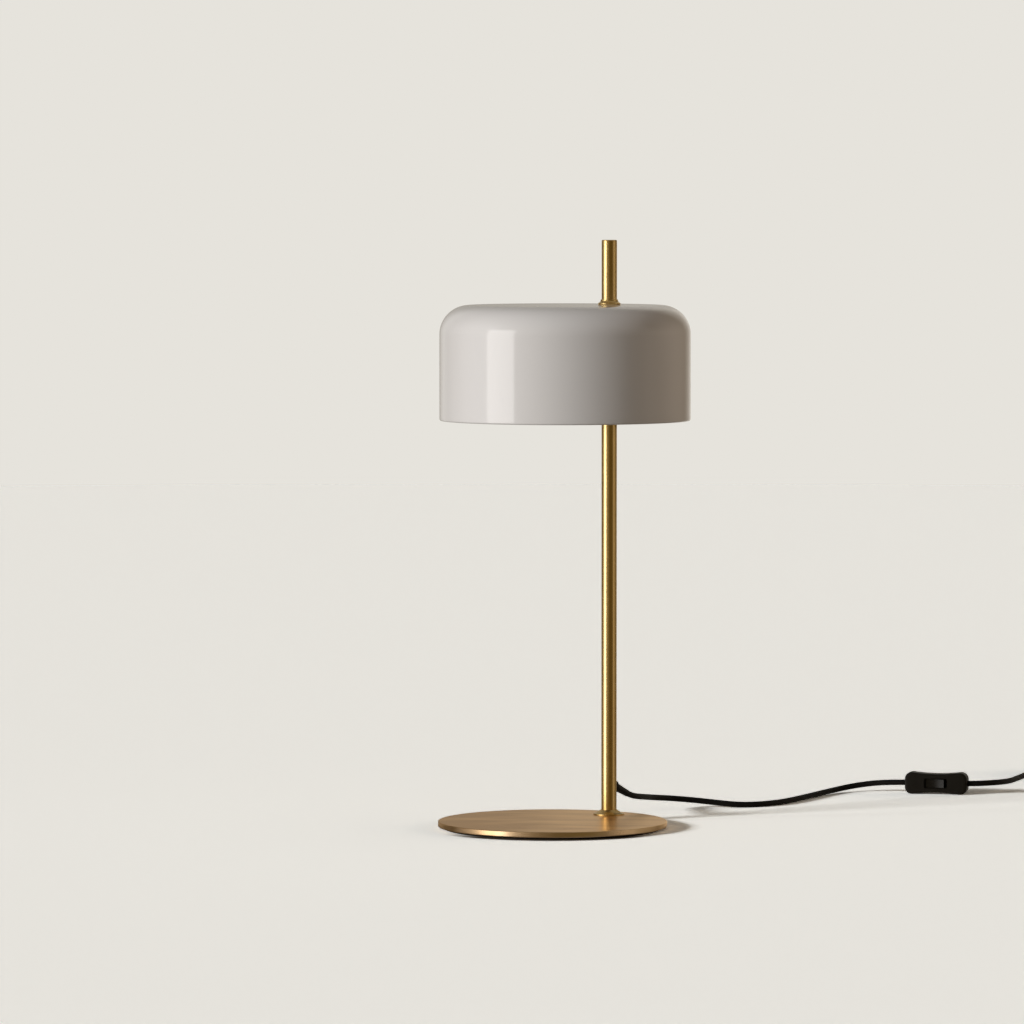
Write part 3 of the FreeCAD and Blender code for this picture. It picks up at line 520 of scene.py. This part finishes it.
# %% Where every tree starts, and where it ends
def growing_board(name, **inputs):
    """A new Geometry Nodes tree that takes these inputs, by label and kind, and gives a mesh."""
    tree = bpy.data.node_groups.new(name, "GeometryNodeTree")
    for label, kind in inputs.items():
        tree.interface.new_socket(label.replace("_", " "), in_out="INPUT",
                                  socket_type="NodeSocket" + kind)
    tree.interface.new_socket("Mesh", in_out="OUTPUT", socket_type="NodeSocketGeometry")
    board = Board(tree)
    return board, board.add("NodeGroupInput")


def finished(board, given, shape):
    """The tree, once shape has been made real and given its material."""
    whole = board.add("GeometryNodeRealizeInstances", {}, {"Geometry": shape})
    named = board.add("GeometryNodeSetMaterial", {},
                      {"Geometry": whole, "Material": given.output("Finish")})
    board.add("NodeGroupOutput", {}, {"Mesh": named})
    return board.tree


# %% A tree that sheathes a route
def sheath_tree():
    board, given = growing_board("sheathed_route", Route="Geometry", Radius="Float",
                                 Ring_Spacing="Float", Sides="Int", Finish="Material")
    rings = board.add("GeometryNodeResampleCurve", {"mode": "LENGTH"},
                      {"Curve": given.output("Route"), "Length": given.output("Ring Spacing")})
    distance = board.add("GeometryNodeSplineParameter").output("Length")
    measured = board.add("GeometryNodeStoreNamedAttribute",
                         {"data_type": "FLOAT", "domain": "POINT"},
                         {"Geometry": rings, "Name": "along", "Value": distance})
    circle = board.add("GeometryNodeCurvePrimitiveCircle", {"mode": "RADIUS"},
                       {"Resolution": given.output("Sides"), "Radius": given.output("Radius")})
    outward = board.add("ShaderNodeVectorMath", {"operation": "NORMALIZE"},
                        {0: board.add("GeometryNodeInputPosition")})
    section = board.add("GeometryNodeStoreNamedAttribute",
                        {"data_type": "FLOAT_VECTOR", "domain": "POINT"},
                        {"Geometry": circle, "Name": "around", "Value": outward})
    skin = board.add("GeometryNodeCurveToMesh", {},
                     {"Curve": measured, "Profile Curve": section, "Fill Caps": True})
    return finished(board, given, skin)


# %% Turning a tree's result into a plain piece
WELD_DISTANCE = 1e-6


def grown(name, source, tree, **values):
    """The mesh that a Geometry Nodes tree makes from source, as a piece of its own."""
    modifier = source.modifiers.new("grow", "NODES")
    modifier.node_group = tree
    sockets = {item.name: item.identifier for item in tree.interface.items_tree
               if item.item_type == "SOCKET" and item.in_out == "INPUT"}
    for label, value in values.items():
        modifier[sockets[label.replace("_", " ")]] = value
    evaluated = source.evaluated_get(bpy.context.evaluated_depsgraph_get())
    mesh = bpy.data.meshes.new_from_object(evaluated)
    source.modifiers.remove(modifier)
    mesh.name = name
    return placed(name, mesh)


def tidied(piece, sharp_degrees=35.0, solid=True):
    """Doubles merged, faces outward, smooth shading except across edges sharper than this."""
    work = bmesh.new()
    work.from_mesh(piece.data)
    bmesh.ops.remove_doubles(work, verts=work.verts, dist=WELD_DISTANCE)
    if solid:
        bmesh.ops.recalc_face_normals(work, faces=work.faces)
    limit = math.radians(sharp_degrees)
    for face in work.faces:
        face.smooth = True
    for edge in work.edges:
        edge.smooth = len(edge.link_faces) != 2 or edge.calc_face_angle(0.0) < limit
    work.to_mesh(piece.data)
    work.free()
    return piece


# %% The two stretches of cord
RING_SPACING = 1.6 * mm
CORD_SIDES = 20
sheath = sheath_tree()


def cord_piece(name, points):
    """One stretch of cord, with its centre line and its length in metres."""
    route = cord_route(name + "_route", points)
    line = points_along(route)
    piece = grown(name, route, sheath, Radius=CORD_THICKNESS / 2, Ring_Spacing=RING_SPACING,
                  Sides=CORD_SIDES, Finish=cord_braid)
    bpy.data.objects.remove(route)
    length = sum((b - a).length for a, b in zip(line, line[1:]))
    print(name, "length", round(length, 3), "rings", len(piece.data.vertices) // CORD_SIDES)
    return tidied(piece, sharp_degrees=60.0, solid=False), line, length


lamp_cord, lamp_cord_line, lamp_cord_length = cord_piece("lamp_cord", gland_to_switch)
plug_cord, plug_cord_line, plug_cord_length = cord_piece("plug_cord", switch_to_plug)
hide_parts("cord_to_switch")
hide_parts("cord_to_coil", "cord_coil", "cord_to_plug")
for piece in (lamp_cord, plug_cord):
    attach(piece, "stand")


# %% [markdown]
# ## Turned pieces
#
# The foot, collars, stem, cap and shade all follow one rule: an outline spun about an axis.
# One tree does it for all of them.  It takes the outline's corners, lays a grid of them, turns
# each column by its share of a full circle and welds the seam.  That gives surfaces whose
# reflections run without a facet.

# %% A tree that spins an outline
def spinning_tree():
    board, given = growing_board("spun_outline", Outline="Geometry", Corners="Int", Sides="Int",
                                 Axis="Vector", Finish="Material")
    corners, sides = given.output("Corners"), given.output("Sides")
    grid = board.add("GeometryNodeMeshGrid", {},
                     {"Vertices X": sides + 1.0, "Vertices Y": corners})
    number = board.add("GeometryNodeInputIndex")
    column = (number / corners + 0.0001).floor()
    corner = number - column * corners
    place = board.add("GeometryNodeSampleIndex", {"data_type": "FLOAT_VECTOR", "domain": "POINT"},
                      {"Geometry": given.output("Outline"), "Index": corner,
                       "Value": board.add("GeometryNodeInputPosition")})
    turned = board.add("ShaderNodeVectorRotate", {"rotation_type": "Z_AXIS"},
                       {"Vector": place, "Angle": column * (2 * math.pi) / sides})
    moved = board.add("ShaderNodeVectorMath", {"operation": "ADD"},
                      {0: turned, 1: given.output("Axis")})
    round_grid = board.add("GeometryNodeSetPosition", {}, {"Geometry": grid, "Position": moved})
    seamless = board.add("GeometryNodeMergeByDistance", {},
                         {"Geometry": round_grid, "Distance": WELD_DISTANCE})
    return finished(board, given, seamless)


spinner = spinning_tree()


# %% Outlines with arcs in them
def arc_through(start, middle, end, steps):
    """Points of the arc from start to end by way of middle, without start itself."""
    (ax, ay), (bx, by), (cx, cy) = start, middle, end
    aa, bb, cc = (px * px + py * py for px, py in (start, middle, end))
    d = 2 * (ax * (by - cy) + bx * (cy - ay) + cx * (ay - by))
    ux = (aa * (by - cy) + bb * (cy - ay) + cc * (ay - by)) / d
    uy = (aa * (cx - bx) + bb * (ax - cx) + cc * (bx - ax)) / d
    reach = math.hypot(ax - ux, ay - uy)
    first, through, last = (math.atan2(y - uy, x - ux) for x, y in (start, middle, end))
    turn = (last - first) % (2 * math.pi)
    if (through - first) % (2 * math.pi) > turn:
        turn -= 2 * math.pi
    angles = [first + turn * step / steps for step in range(1, steps + 1)]
    return [(ux + reach * math.cos(angle), uy + reach * math.sin(angle)) for angle in angles]


def round_corner(centre, radius, start, end, steps):
    """Points of an arc about centre from one angle to another, in degrees."""
    angles = [math.radians(start + (end - start) * step / steps) for step in range(steps + 1)]
    return [(centre[0] + radius * math.cos(angle), centre[1] + radius * math.sin(angle))
            for angle in angles]


def spun(name, outline, axis, sides, finish, node):
    """A turned piece from its outline of (radius, height) in millimetres, in a solid's place."""
    closed = outline if outline[0][0] == 0 and outline[-1][0] == 0 else outline + [outline[0]]
    mesh = bpy.data.meshes.new(name + "_outline")
    mesh.from_pydata([(radius * mm, 0, height * mm) for radius, height in closed], [], [])
    source = placed(name + "_outline", mesh)
    piece = grown(name, source, spinner, Corners=len(closed), Sides=sides,
                  Axis=(axis[0] * mm, axis[1] * mm, 0.0), Finish=finish)
    bpy.data.objects.remove(source)
    tidied(piece)
    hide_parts(node)
    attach(piece, frame["nodes"][node]["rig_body"])
    print(name, "faces", len(piece.data.polygons))
    return piece


# %% [markdown]
# ## Foot, stem and cap
#
# The foot is a disc of brass plate with a broken top edge, on a thin black pad.  Its rim has a
# brass of its own, paler and yellower than the top: partly its turned finish and partly painted
# light, which brightens the lit edge.  A collar that flares to a thin edge hides the joint with
# the stem, and a turned cap closes the stem's top.

# %% Foot plate
STEM_AXIS = (55.5, 59.5)
FOOT_RADIUS = 111.0
FOOT_LOW, FOOT_HIGH = 2.0, 7.5
EDGE = 0.7
RIM_RING, MID_RING = FOOT_RADIUS - 1.6, 60
RIM_SLOPE = 0.9

foot_outline = [(0, FOOT_LOW), (FOOT_RADIUS - EDGE, FOOT_LOW), (FOOT_RADIUS, FOOT_LOW + EDGE)]
foot_outline += round_corner((FOOT_RADIUS - EDGE, FOOT_HIGH - EDGE), EDGE, 0, 90, 6)
foot_outline += [(RIM_RING, FOOT_HIGH), (MID_RING, FOOT_HIGH), (0, FOOT_HIGH)]
foot = spun("foot", foot_outline, (0, 0), 256, foot_brass, "foot_plate")
foot.data.materials.append(rim_brass)
for face in foot.data.polygons:
    if abs(face.normal.z) < RIM_SLOPE:
        face.material_index = 1

# %% Stem and cap
STEM_RADIUS = 7.5
STEM_BORE = 6.25
STEM_TOP = 567.2
LAMP_TOP = 569.0
CHAMFER = 0.12
CAP_ROUND, CAP_SPIGOT = 1, 8

stem_outline = [(STEM_BORE, FOOT_HIGH), (STEM_RADIUS, FOOT_HIGH), (STEM_RADIUS, STEM_TOP - CHAMFER),
                (STEM_RADIUS - CHAMFER, STEM_TOP), (STEM_BORE, STEM_TOP)]
spun("stem", stem_outline, STEM_AXIS, 96, stem_brass, "stem_tube")

cap_outline = [(0, STEM_TOP - CAP_SPIGOT), (STEM_BORE, STEM_TOP - CAP_SPIGOT), (STEM_BORE, STEM_TOP),
               (STEM_RADIUS - CHAMFER, STEM_TOP), (STEM_RADIUS, STEM_TOP + CHAMFER)]
cap_outline += round_corner((STEM_RADIUS - CAP_ROUND, LAMP_TOP - CAP_ROUND), CAP_ROUND, 0, 90, 6)
cap_outline += [(0, LAMP_TOP)]
spun("stem_top", cap_outline, STEM_AXIS, 96, stem_brass, "stem_cap")

# %% Foot collar: an upright lip, then a hollow flare up to the neck
COLLAR_BORE = STEM_RADIUS + 0.02
SPREAD = STEM_RADIUS + 7.7
NECK = STEM_RADIUS + 0.8
FLARE_EDGE = FOOT_HIGH + 1.2
FLARE_TOP = FOOT_HIGH + 4.9
FLARE_CURVE = 0.42
LIP_ROUND, FLARE_INSET = 0.25, 0.26

waist = (NECK + FLARE_CURVE * (SPREAD - NECK), FLARE_EDGE + FLARE_CURVE * (FLARE_TOP - FLARE_EDGE))
foot_flare = [(COLLAR_BORE, FOOT_HIGH), (SPREAD - CHAMFER, FOOT_HIGH), (SPREAD, FOOT_HIGH + CHAMFER)]
foot_flare += round_corner((SPREAD - LIP_ROUND, FLARE_EDGE - LIP_ROUND), LIP_ROUND, 0, 80, 5)
foot_flare += arc_through((SPREAD - FLARE_INSET, FLARE_EDGE), waist, (NECK, FLARE_TOP), 16)
foot_flare += [(COLLAR_BORE, FLARE_TOP)]
spun("foot_flare", foot_flare, STEM_AXIS, 128, collar_brass, "foot_collar")


# %% [markdown]
# ## The shade
#
# The shade is spun from sheet: a flat top, a shoulder of 28.5 mm radius, a straight side and a
# rolled rim that stiffens the edge.  The stem passes through it off centre.  Outside and inside
# have their own paint, so faces that look inward take the lining.  The outline has a few more
# corners than its form needs, a little before each bend: they keep the flat stretches flat in
# their shading too.

# %% Shade shell
SHADE_AXIS = (12.2, 34.5)
SHADE_RADIUS = 122.0
SHADE_TOP = 506.0
SHADE_RIM = 394.0
SHOULDER = 28.5
WALL = 1.5
BEAD = 1.6
HEART_HEIGHT = 440

side, bend = SHADE_RADIUS - SHOULDER, SHADE_TOP - SHOULDER
TOP_RINGS, SIDE_RINGS = (40, side - 6), (bend - 4, SHADE_RIM + 6)
bead_middle = (SHADE_RADIUS - BEAD, SHADE_RIM + BEAD)
shell_outline = [(0, SHADE_TOP)] + [(ring, SHADE_TOP) for ring in TOP_RINGS]
shell_outline += round_corner((side, bend), SHOULDER, 90, 0, 40)
shell_outline += [(SHADE_RADIUS, ring) for ring in SIDE_RINGS]
shell_outline += round_corner(bead_middle, BEAD, 0, -180, 16)
shell_outline += [(SHADE_RADIUS - 2 * BEAD, SHADE_RIM + 2 * BEAD),
                  (SHADE_RADIUS - WALL, SHADE_RIM + 4 * BEAD - WALL),
                  (SHADE_RADIUS - WALL, bend)]
shell_outline += round_corner((side, bend), SHOULDER - WALL, 0, 90, 24)
shell_outline += [(0, SHADE_TOP - WALL)]
shade = spun("shade", shell_outline, SHADE_AXIS, 288, shade_enamel, "shade_shell")
shade.data.materials.append(lining_enamel)
shade_middle = Vector((*SHADE_AXIS, HEART_HEIGHT)) * mm
for face in shade.data.polygons:
    if face.normal.dot(face.center - shade_middle) < 0:
        face.material_index = 1
print("lined faces:", sum(face.material_index for face in shade.data.polygons))

# %% Shade collar: a rounded skirt over the washer, then a hollow flare up to a straight lip
TOP_BORE = STEM_RADIUS + 0.15
WASHER_RADIUS = 10.1
WASHER_TOP = SHADE_TOP + 0.5
SKIRT = STEM_RADIUS + 3.15
SKIRT_BULGE = (SKIRT + 0.35, SHADE_TOP + 0.85)
SKIRT_TOP = SHADE_TOP + 1.7
LIP = STEM_RADIUS + 0.95
LIP_LOW, LIP_TOP = SHADE_TOP + 4.2, SHADE_TOP + 5.0
LIP_BREAK = 0.1
TOP_CURVE = 0.32

top_waist = (LIP + TOP_CURVE * (SKIRT - LIP), SKIRT_TOP + TOP_CURVE * (LIP_TOP - SKIRT_TOP))
shade_flare = [(TOP_BORE, WASHER_TOP), (WASHER_RADIUS, WASHER_TOP), (WASHER_RADIUS, SHADE_TOP),
               (SKIRT, SHADE_TOP)]
shade_flare += arc_through((SKIRT, SHADE_TOP), SKIRT_BULGE, (SKIRT, SKIRT_TOP), 10)
shade_flare += arc_through((SKIRT, SKIRT_TOP), top_waist, (LIP, LIP_LOW), 14)
shade_flare += [(LIP, LIP_TOP - LIP_BREAK), (LIP - LIP_BREAK, LIP_TOP), (TOP_BORE, LIP_TOP)]
spun("shade_flare", shade_flare, STEM_AXIS, 128, collar_brass, "shade_collar")


# %% [markdown]
# ## Pieces that keep the solids' shape
#
# The rest already has the right shape: the lampholder, the hub and sleeve inside the shade, the
# switch, the plug.  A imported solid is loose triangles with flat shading, so each of these
# becomes a welded copy that is smooth where the real one is and sharp at its edges.

# %% Welded copies
def welded(name, node, finish, sharp_degrees=28.0):
    """A smooth copy of a solid, in its place; it still has to be given its body."""
    piece = placed(name, frame["nodes"][node].data.copy())
    piece.data.materials.clear()
    piece.data.materials.append(finish)
    piece.data.polygons.foreach_set("material_index", [0] * len(piece.data.polygons))
    tidied(piece, sharp_degrees)
    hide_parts(node)
    return piece


def welded_rider(name, node, finish, sharp_degrees=28.0):
    """A smooth copy that rides on the body its solid belongs to."""
    piece = welded(name, node, finish, sharp_degrees)
    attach(piece, frame["nodes"][node]["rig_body"])
    return piece


# %% Inside the shade: hub, sleeve and their fittings
welded_rider("washer", "collar_washer", washer_plastic)
welded_rider("carrier", "carrier_plate", zinc_plate)
welded_rider("hub", "shade_hub", zinc_plate)
welded_rider("hub_nut", "sleeve_nut", zinc_plate)
welded_rider("grip_sleeve", "friction_sleeve", white_nylon)
welded_rider("clip", "lead_clip", white_nylon)

# %% Lampholder and bulb
welded_rider("nipple", "holder_nipple", zinc_plate)
welded_rider("nut", "nipple_nut", zinc_plate)
welded_rider("holder_dome", "holder_cap", holder_plastic)
welded_rider("holder_barrel", "holder_body", holder_plastic)
welded_rider("holder_thread", "holder_screw_shell", contact_metal)
welded_rider("side_entry", "entry_bush", gland_rubber)
welded_rider("bulb_screw", "bulb_cap", nickel_plate)
welded_rider("bulb", "bulb_glass", opal, 40.0)

# %% The lead's stretches that cross a joint, as welded copies with their place baked in
lower_lead = welded("lower_lead", "lead_lower", lead_sheath, 60.0)
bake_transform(lower_lead)
upper_lead = welded("upper_lead", "lead_upper", lead_sheath, 60.0)
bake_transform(upper_lead)

# %% The cord's gland
# The photograph shows it a little further round the stem and lower than the solid has it, with
# a wider flange, so each point of the copy is moved about the stem's axis.
GLAND_HEIGHT, GLAND_BEARING = 36 * mm, math.radians(68)
GLAND_SWING, GLAND_DROP = math.radians(-13), 1 * mm
FLANGE_FROM, FLANGE_TO, FLANGE_GROWTH = 7.0 * mm, 10.1 * mm, 1.25

gland = welded_rider("gland", "cord_gland", gland_rubber, 40.0)
gland_middle = Vector((STEM_AXIS[0] * mm, STEM_AXIS[1] * mm, GLAND_HEIGHT))
outward = Vector((math.cos(GLAND_BEARING), math.sin(GLAND_BEARING), 0.0))
swing = Matrix.Rotation(GLAND_SWING, 4, "Z")
for vertex in gland.data.vertices:
    offset = vertex.co - gland_middle
    depth = offset.dot(outward)
    if FLANGE_FROM < depth < FLANGE_TO:
        offset = outward * depth + (offset - outward * depth) * FLANGE_GROWTH
    vertex.co = gland_middle + swing @ offset - Vector((0, 0, GLAND_DROP))

# %% Grommet, switch, plug and coil tie
welded_rider("grommet", "lead_grommet", gland_rubber)
switch_face = welded_rider("switch_face", "switch_front", cover_plastic, 30.0)
switch_rear = welded_rider("switch_rear", "switch_back", cover_plastic, 30.0)
rocker_key = welded_rider("rocker_key", "rocker", rocker_plastic, 30.0)
plug = welded_rider("plug", "plug_body", plug_plastic, 30.0)
pins = welded_rider("pins", "plug_pins", nickel_plate, 30.0)
strap = welded_rider("strap", "coil_tie", washer_plastic, 30.0)

# %% Solids that keep their own mesh: the foot's pad, and what lies hidden
plain_finishes = {
    "foot_pad": foot_felt, "locating_pin": bare_steel, "foot_bolt": zinc_plate,
    "stem_foot_plug": bare_steel, "inner_lead": lead_sheath, "stop_pin": bare_steel,
    "holder_contact": contact_metal, "bulb_contact": nickel_plate,
    "switch_screws": zinc_plate, "switch_contacts": blackened_metal, "rocker_pin": bare_steel}
for node, finish in plain_finishes.items():
    solid = frame["nodes"][node]
    for slot_of_solid in solid.material_slots:
        slot_of_solid.material = finish
print("plain solids:", len(plain_finishes))


# %% [markdown]
# ## Light
#
# The photograph has one soft key at the left, low and wide, a dim warm room at the right and a
# pale surface that runs on behind the lamp.  Suns give the key, because they light a floor
# evenly: four in a row make one wide soft source.  What the metal and the enamel mirror is
# painted on the world by compass direction: the key's tall bright panel, the dark room and the
# pale background.  What fills the shadows is a second painting, a dim room with one low warm
# patch at the right, which lights the far side of the shade and, being low, adds little to the
# floor.

# %% Directions round the lamp
def toward(bearing, height):
    """Unit vector at a bearing from the camera's side (left is negative) and a height, degrees."""
    bearing, height = math.radians(bearing), math.radians(height)
    level = math.cos(height)
    return Vector((math.sin(bearing) * level, -math.cos(bearing) * level, math.sin(height)))


# %% The key: bearing, height and share of the light for each sun
KEY_LIGHT = 2.98
KEY_SUNS = ((-74.0, 12.0, 0.10), (-62.0, 13.0, 0.26), (-58.0, 14.5, 0.34), (-53.5, 14.5, 0.30))
SUN_WIDTH = 5

for bearing, height, share in KEY_SUNS:
    light = bpy.data.lights.new("key_%d" % -bearing, "SUN")
    light.energy = KEY_LIGHT * share
    light.angle = math.radians(SUN_WIDTH)
    sun = placed("key_%d" % -bearing, light)
    sun.rotation_euler = toward(bearing, height).to_track_quat("Z", "Y").to_euler()
    sun.visible_glossy = False

# %% How bright the floor comes out, worked out beforehand, and the colour that it needs
ROOM_LOW = (0.128, 0.111, 0.094)
ROOM_HIGH = (0.040, 0.036, 0.032)
ROOM_SPLIT = 35.0
FILL_LIGHT = (2.850, 2.360, 1.900)
FILL_FROM, FILL_TO, FILL_TOP = 85.0, 138.0, 19.0
BACKGROUND = (0.791, 0.768, 0.716)

key_on_floor = sum(KEY_LIGHT * share * math.sin(math.radians(height))
                   for _, height, share in KEY_SUNS) / math.pi
fill_width = math.radians(FILL_TO - FILL_FROM)
fill_on_floor = fill_width * math.sin(math.radians(FILL_TOP)) ** 2 / (2 * math.pi)
low_share = math.sin(math.radians(ROOM_SPLIT)) ** 2
floor_light = [key_on_floor + low * low_share + high * (1 - low_share) + fill_on_floor * fill
               for low, high, fill in zip(ROOM_LOW, ROOM_HIGH, FILL_LIGHT)]
floor_colour = [want / light for want, light in zip(BACKGROUND, floor_light)]
print("floor light", [round(value, 3) for value in floor_light],
      "colour", [round(value, 2) for value in floor_colour])

# %% The world's directions
world = bpy.data.worlds.new("studio")
bpy.context.scene.world = world
world.use_nodes = True
sky = Board(world.node_tree)
world.node_tree.nodes.clear()
gaze = sky.add("ShaderNodeTexCoord", output=0)
direction = sky.add("ShaderNodeSeparateXYZ", {}, {"Vector": gaze})
x, y, z = (direction.output(name) for name in "XYZ")
bearing = direction.math("ARCTAN2", x, 0.0 - y) / (2 * math.pi) + 0.5
height = direction.math("ARCSINE", z) * (180 / math.pi)


def at(degrees):
    """A bearing as a place on the colour ramp, which has the camera's side in its middle."""
    return degrees / 360 + 0.5


def window(value, low, high, edge):
    """1 where value is between low and high, with soft edges."""
    return sky.smooth(value, low - edge, low + edge) * (
        1.0 - sky.smooth(value, high - edge, high + edge))


# %% What is mirrored: the room by bearing, lighter overhead, and the key's panel
PALE, PANEL, OVERHEAD = (0.44, 0.41, 0.36), (3.3, 3.2, 3.1), (0.25, 0.225, 0.19)
ROOM_BY_BEARING = (
    (-180, PALE), (-168, (0.32, 0.295, 0.25)), (-150, (0.50, 0.47, 0.42)),
    (-134, (0.10, 0.075, 0.04)), (-117, (0.10, 0.07, 0.035)), (-104, (0.36, 0.33, 0.30)),
    (-90, (0.62, 0.59, 0.58)), (-79, (0.90, 0.88, 0.84)), (-46, (0.42, 0.38, 0.32)),
    (-28, (0.32, 0.27, 0.20)), (-6, (0.15, 0.115, 0.058)), (10, (0.10, 0.07, 0.022)),
    (44, (0.10, 0.07, 0.022)), (56, (0.15, 0.115, 0.07)), (68, (0.40, 0.335, 0.26)),
    (82, (0.40, 0.335, 0.26)), (93, (0.11, 0.08, 0.035)), (142, (0.09, 0.07, 0.035)),
    (155, (0.46, 0.42, 0.36)), (168, (0.76, 0.71, 0.63)), (180, PALE))
PANEL_LEFT, PANEL_RIGHT, PANEL_LOW, PANEL_TOP = -76.6, -48, -12, 22
PANEL_SIDE_EDGE, PANEL_TOP_EDGE = 0.0022, 1.5
OVERHEAD_FROM, OVERHEAD_EDGE = 36, 12
PAST_ZENITH, NADIR = 200, -90

low_room = sky.add("ShaderNodeValToRGB", {"stops": [
    (at(degrees), colour) for degrees, colour in ROOM_BY_BEARING]}, {"Fac": bearing})
overhead = window(height, OVERHEAD_FROM, PAST_ZENITH, OVERHEAD_EDGE)
high_room = sky.mixed(overhead, low_room, (*OVERHEAD, 1))
key_panel = (window(bearing, at(PANEL_LEFT), at(PANEL_RIGHT), PANEL_SIDE_EDGE)
             * window(height, PANEL_LOW, PANEL_TOP, PANEL_TOP_EDGE))
mirrored = sky.mixed(key_panel, high_room, (*PANEL, 1))

# %% What fills the shadows, and what the camera sees
FILL_SIDE_EDGE, FILL_TOP_EDGE = 0.01, 2
SPLIT_EDGE = 10

fill_patch = (window(bearing, at(FILL_FROM), at(FILL_TO), FILL_SIDE_EDGE)
              * window(height, NADIR, FILL_TOP, FILL_TOP_EDGE))
upper_part = window(height, ROOM_SPLIT, PAST_ZENITH, SPLIT_EDGE)
dim_room = sky.mixed(upper_part, (*ROOM_LOW, 1), (*ROOM_HIGH, 1))
room = sky.mixed(fill_patch, dim_room, (*FILL_LIGHT, 1))
ray = sky.add("ShaderNodeLightPath")
filled = sky.mixed(ray.output("Is Glossy Ray"), room, mirrored)
seen = sky.mixed(ray.output("Is Camera Ray"), filled, (*BACKGROUND, 1))
backdrop = sky.add("ShaderNodeBackground", {}, {"Color": seen})
sky.add("ShaderNodeOutputWorld", {}, {"Surface": backdrop})

# %% [markdown]
# ## The floor
#
# The floor is one pale disc.  Seen by the camera it has the photograph's colour under the key,
# so it runs into the background without a line, and it keeps every shadow.  The last
# millimetres before the foot's front edge are darker, because there the photograph's contact
# shadow is crisper than so wide a key throws.  Seen by the lamp the floor is darker, as a real
# table top among dark surroundings is, and beyond a short reach mirrors look past it.

# %% The floor
FLOOR_REACH = 7.0
MIRROR_REACH = 0.125
CONTACT_FROM, CONTACT_TO = 0.1155, 0.1235
FRONT_FROM, FRONT_TO = 0.35, 0.8
CONTACT_SHADE, DULL_FLOOR = (0.10, 0.08, 0.06, 1), (0.42, 0.39, 0.345, 1)

floor_mesh = bpy.data.meshes.new("floor")
edge = [(FLOOR_REACH * math.cos(math.radians(a)), FLOOR_REACH * math.sin(math.radians(a)), 0.0)
        for a in range(0, 360, 5)]
floor_mesh.from_pydata(edge, [], [list(range(len(edge)))])
floor = placed("floor", floor_mesh)

floor_material = bpy.data.materials.new("floor")
floor_material.use_nodes = True
top = Board(floor_material.node_tree)
floor_material.node_tree.nodes.clear()
ray = top.add("ShaderNodeLightPath")
looked_at = ray.math("MAXIMUM", ray.output("Is Camera Ray"), ray.output("Is Transmission Ray"))
place = top.add("ShaderNodeTexCoord", output=3)
distance = top.add("ShaderNodeVectorMath", {"operation": "LENGTH"}, {0: place}, "Value")
frontward = 0.0 - top.add("ShaderNodeSeparateXYZ", {}, {0: place}).output("Y")
facing = top.smooth(frontward / distance, FRONT_FROM, FRONT_TO)
near = 1.0 - top.smooth(distance, CONTACT_FROM, CONTACT_TO)
contact = top.mixed(facing * near, (*floor_colour, 1), CONTACT_SHADE)
bright = top.add("ShaderNodeBsdfDiffuse", {}, {"Color": contact})
dull = top.add("ShaderNodeBsdfDiffuse", {}, {"Color": DULL_FLOOR})
surface = top.add("ShaderNodeMixShader", {}, {0: looked_at, 1: dull, 2: bright})
past = ray.output("Is Glossy Ray") * distance.above(MIRROR_REACH)
open_far = top.add("ShaderNodeMixShader", {},
                   {0: past, 1: surface, 2: top.add("ShaderNodeBsdfTransparent")})
top.add("ShaderNodeOutputMaterial", {}, {"Surface": open_far})
floor_mesh.materials.append(floor_material)

# %% [markdown]
# ## Closing
#
# The last cell sets the colour view to Standard.

# %% The colour view, and the end
bpy.context.scene.view_settings.view_transform = "Standard"
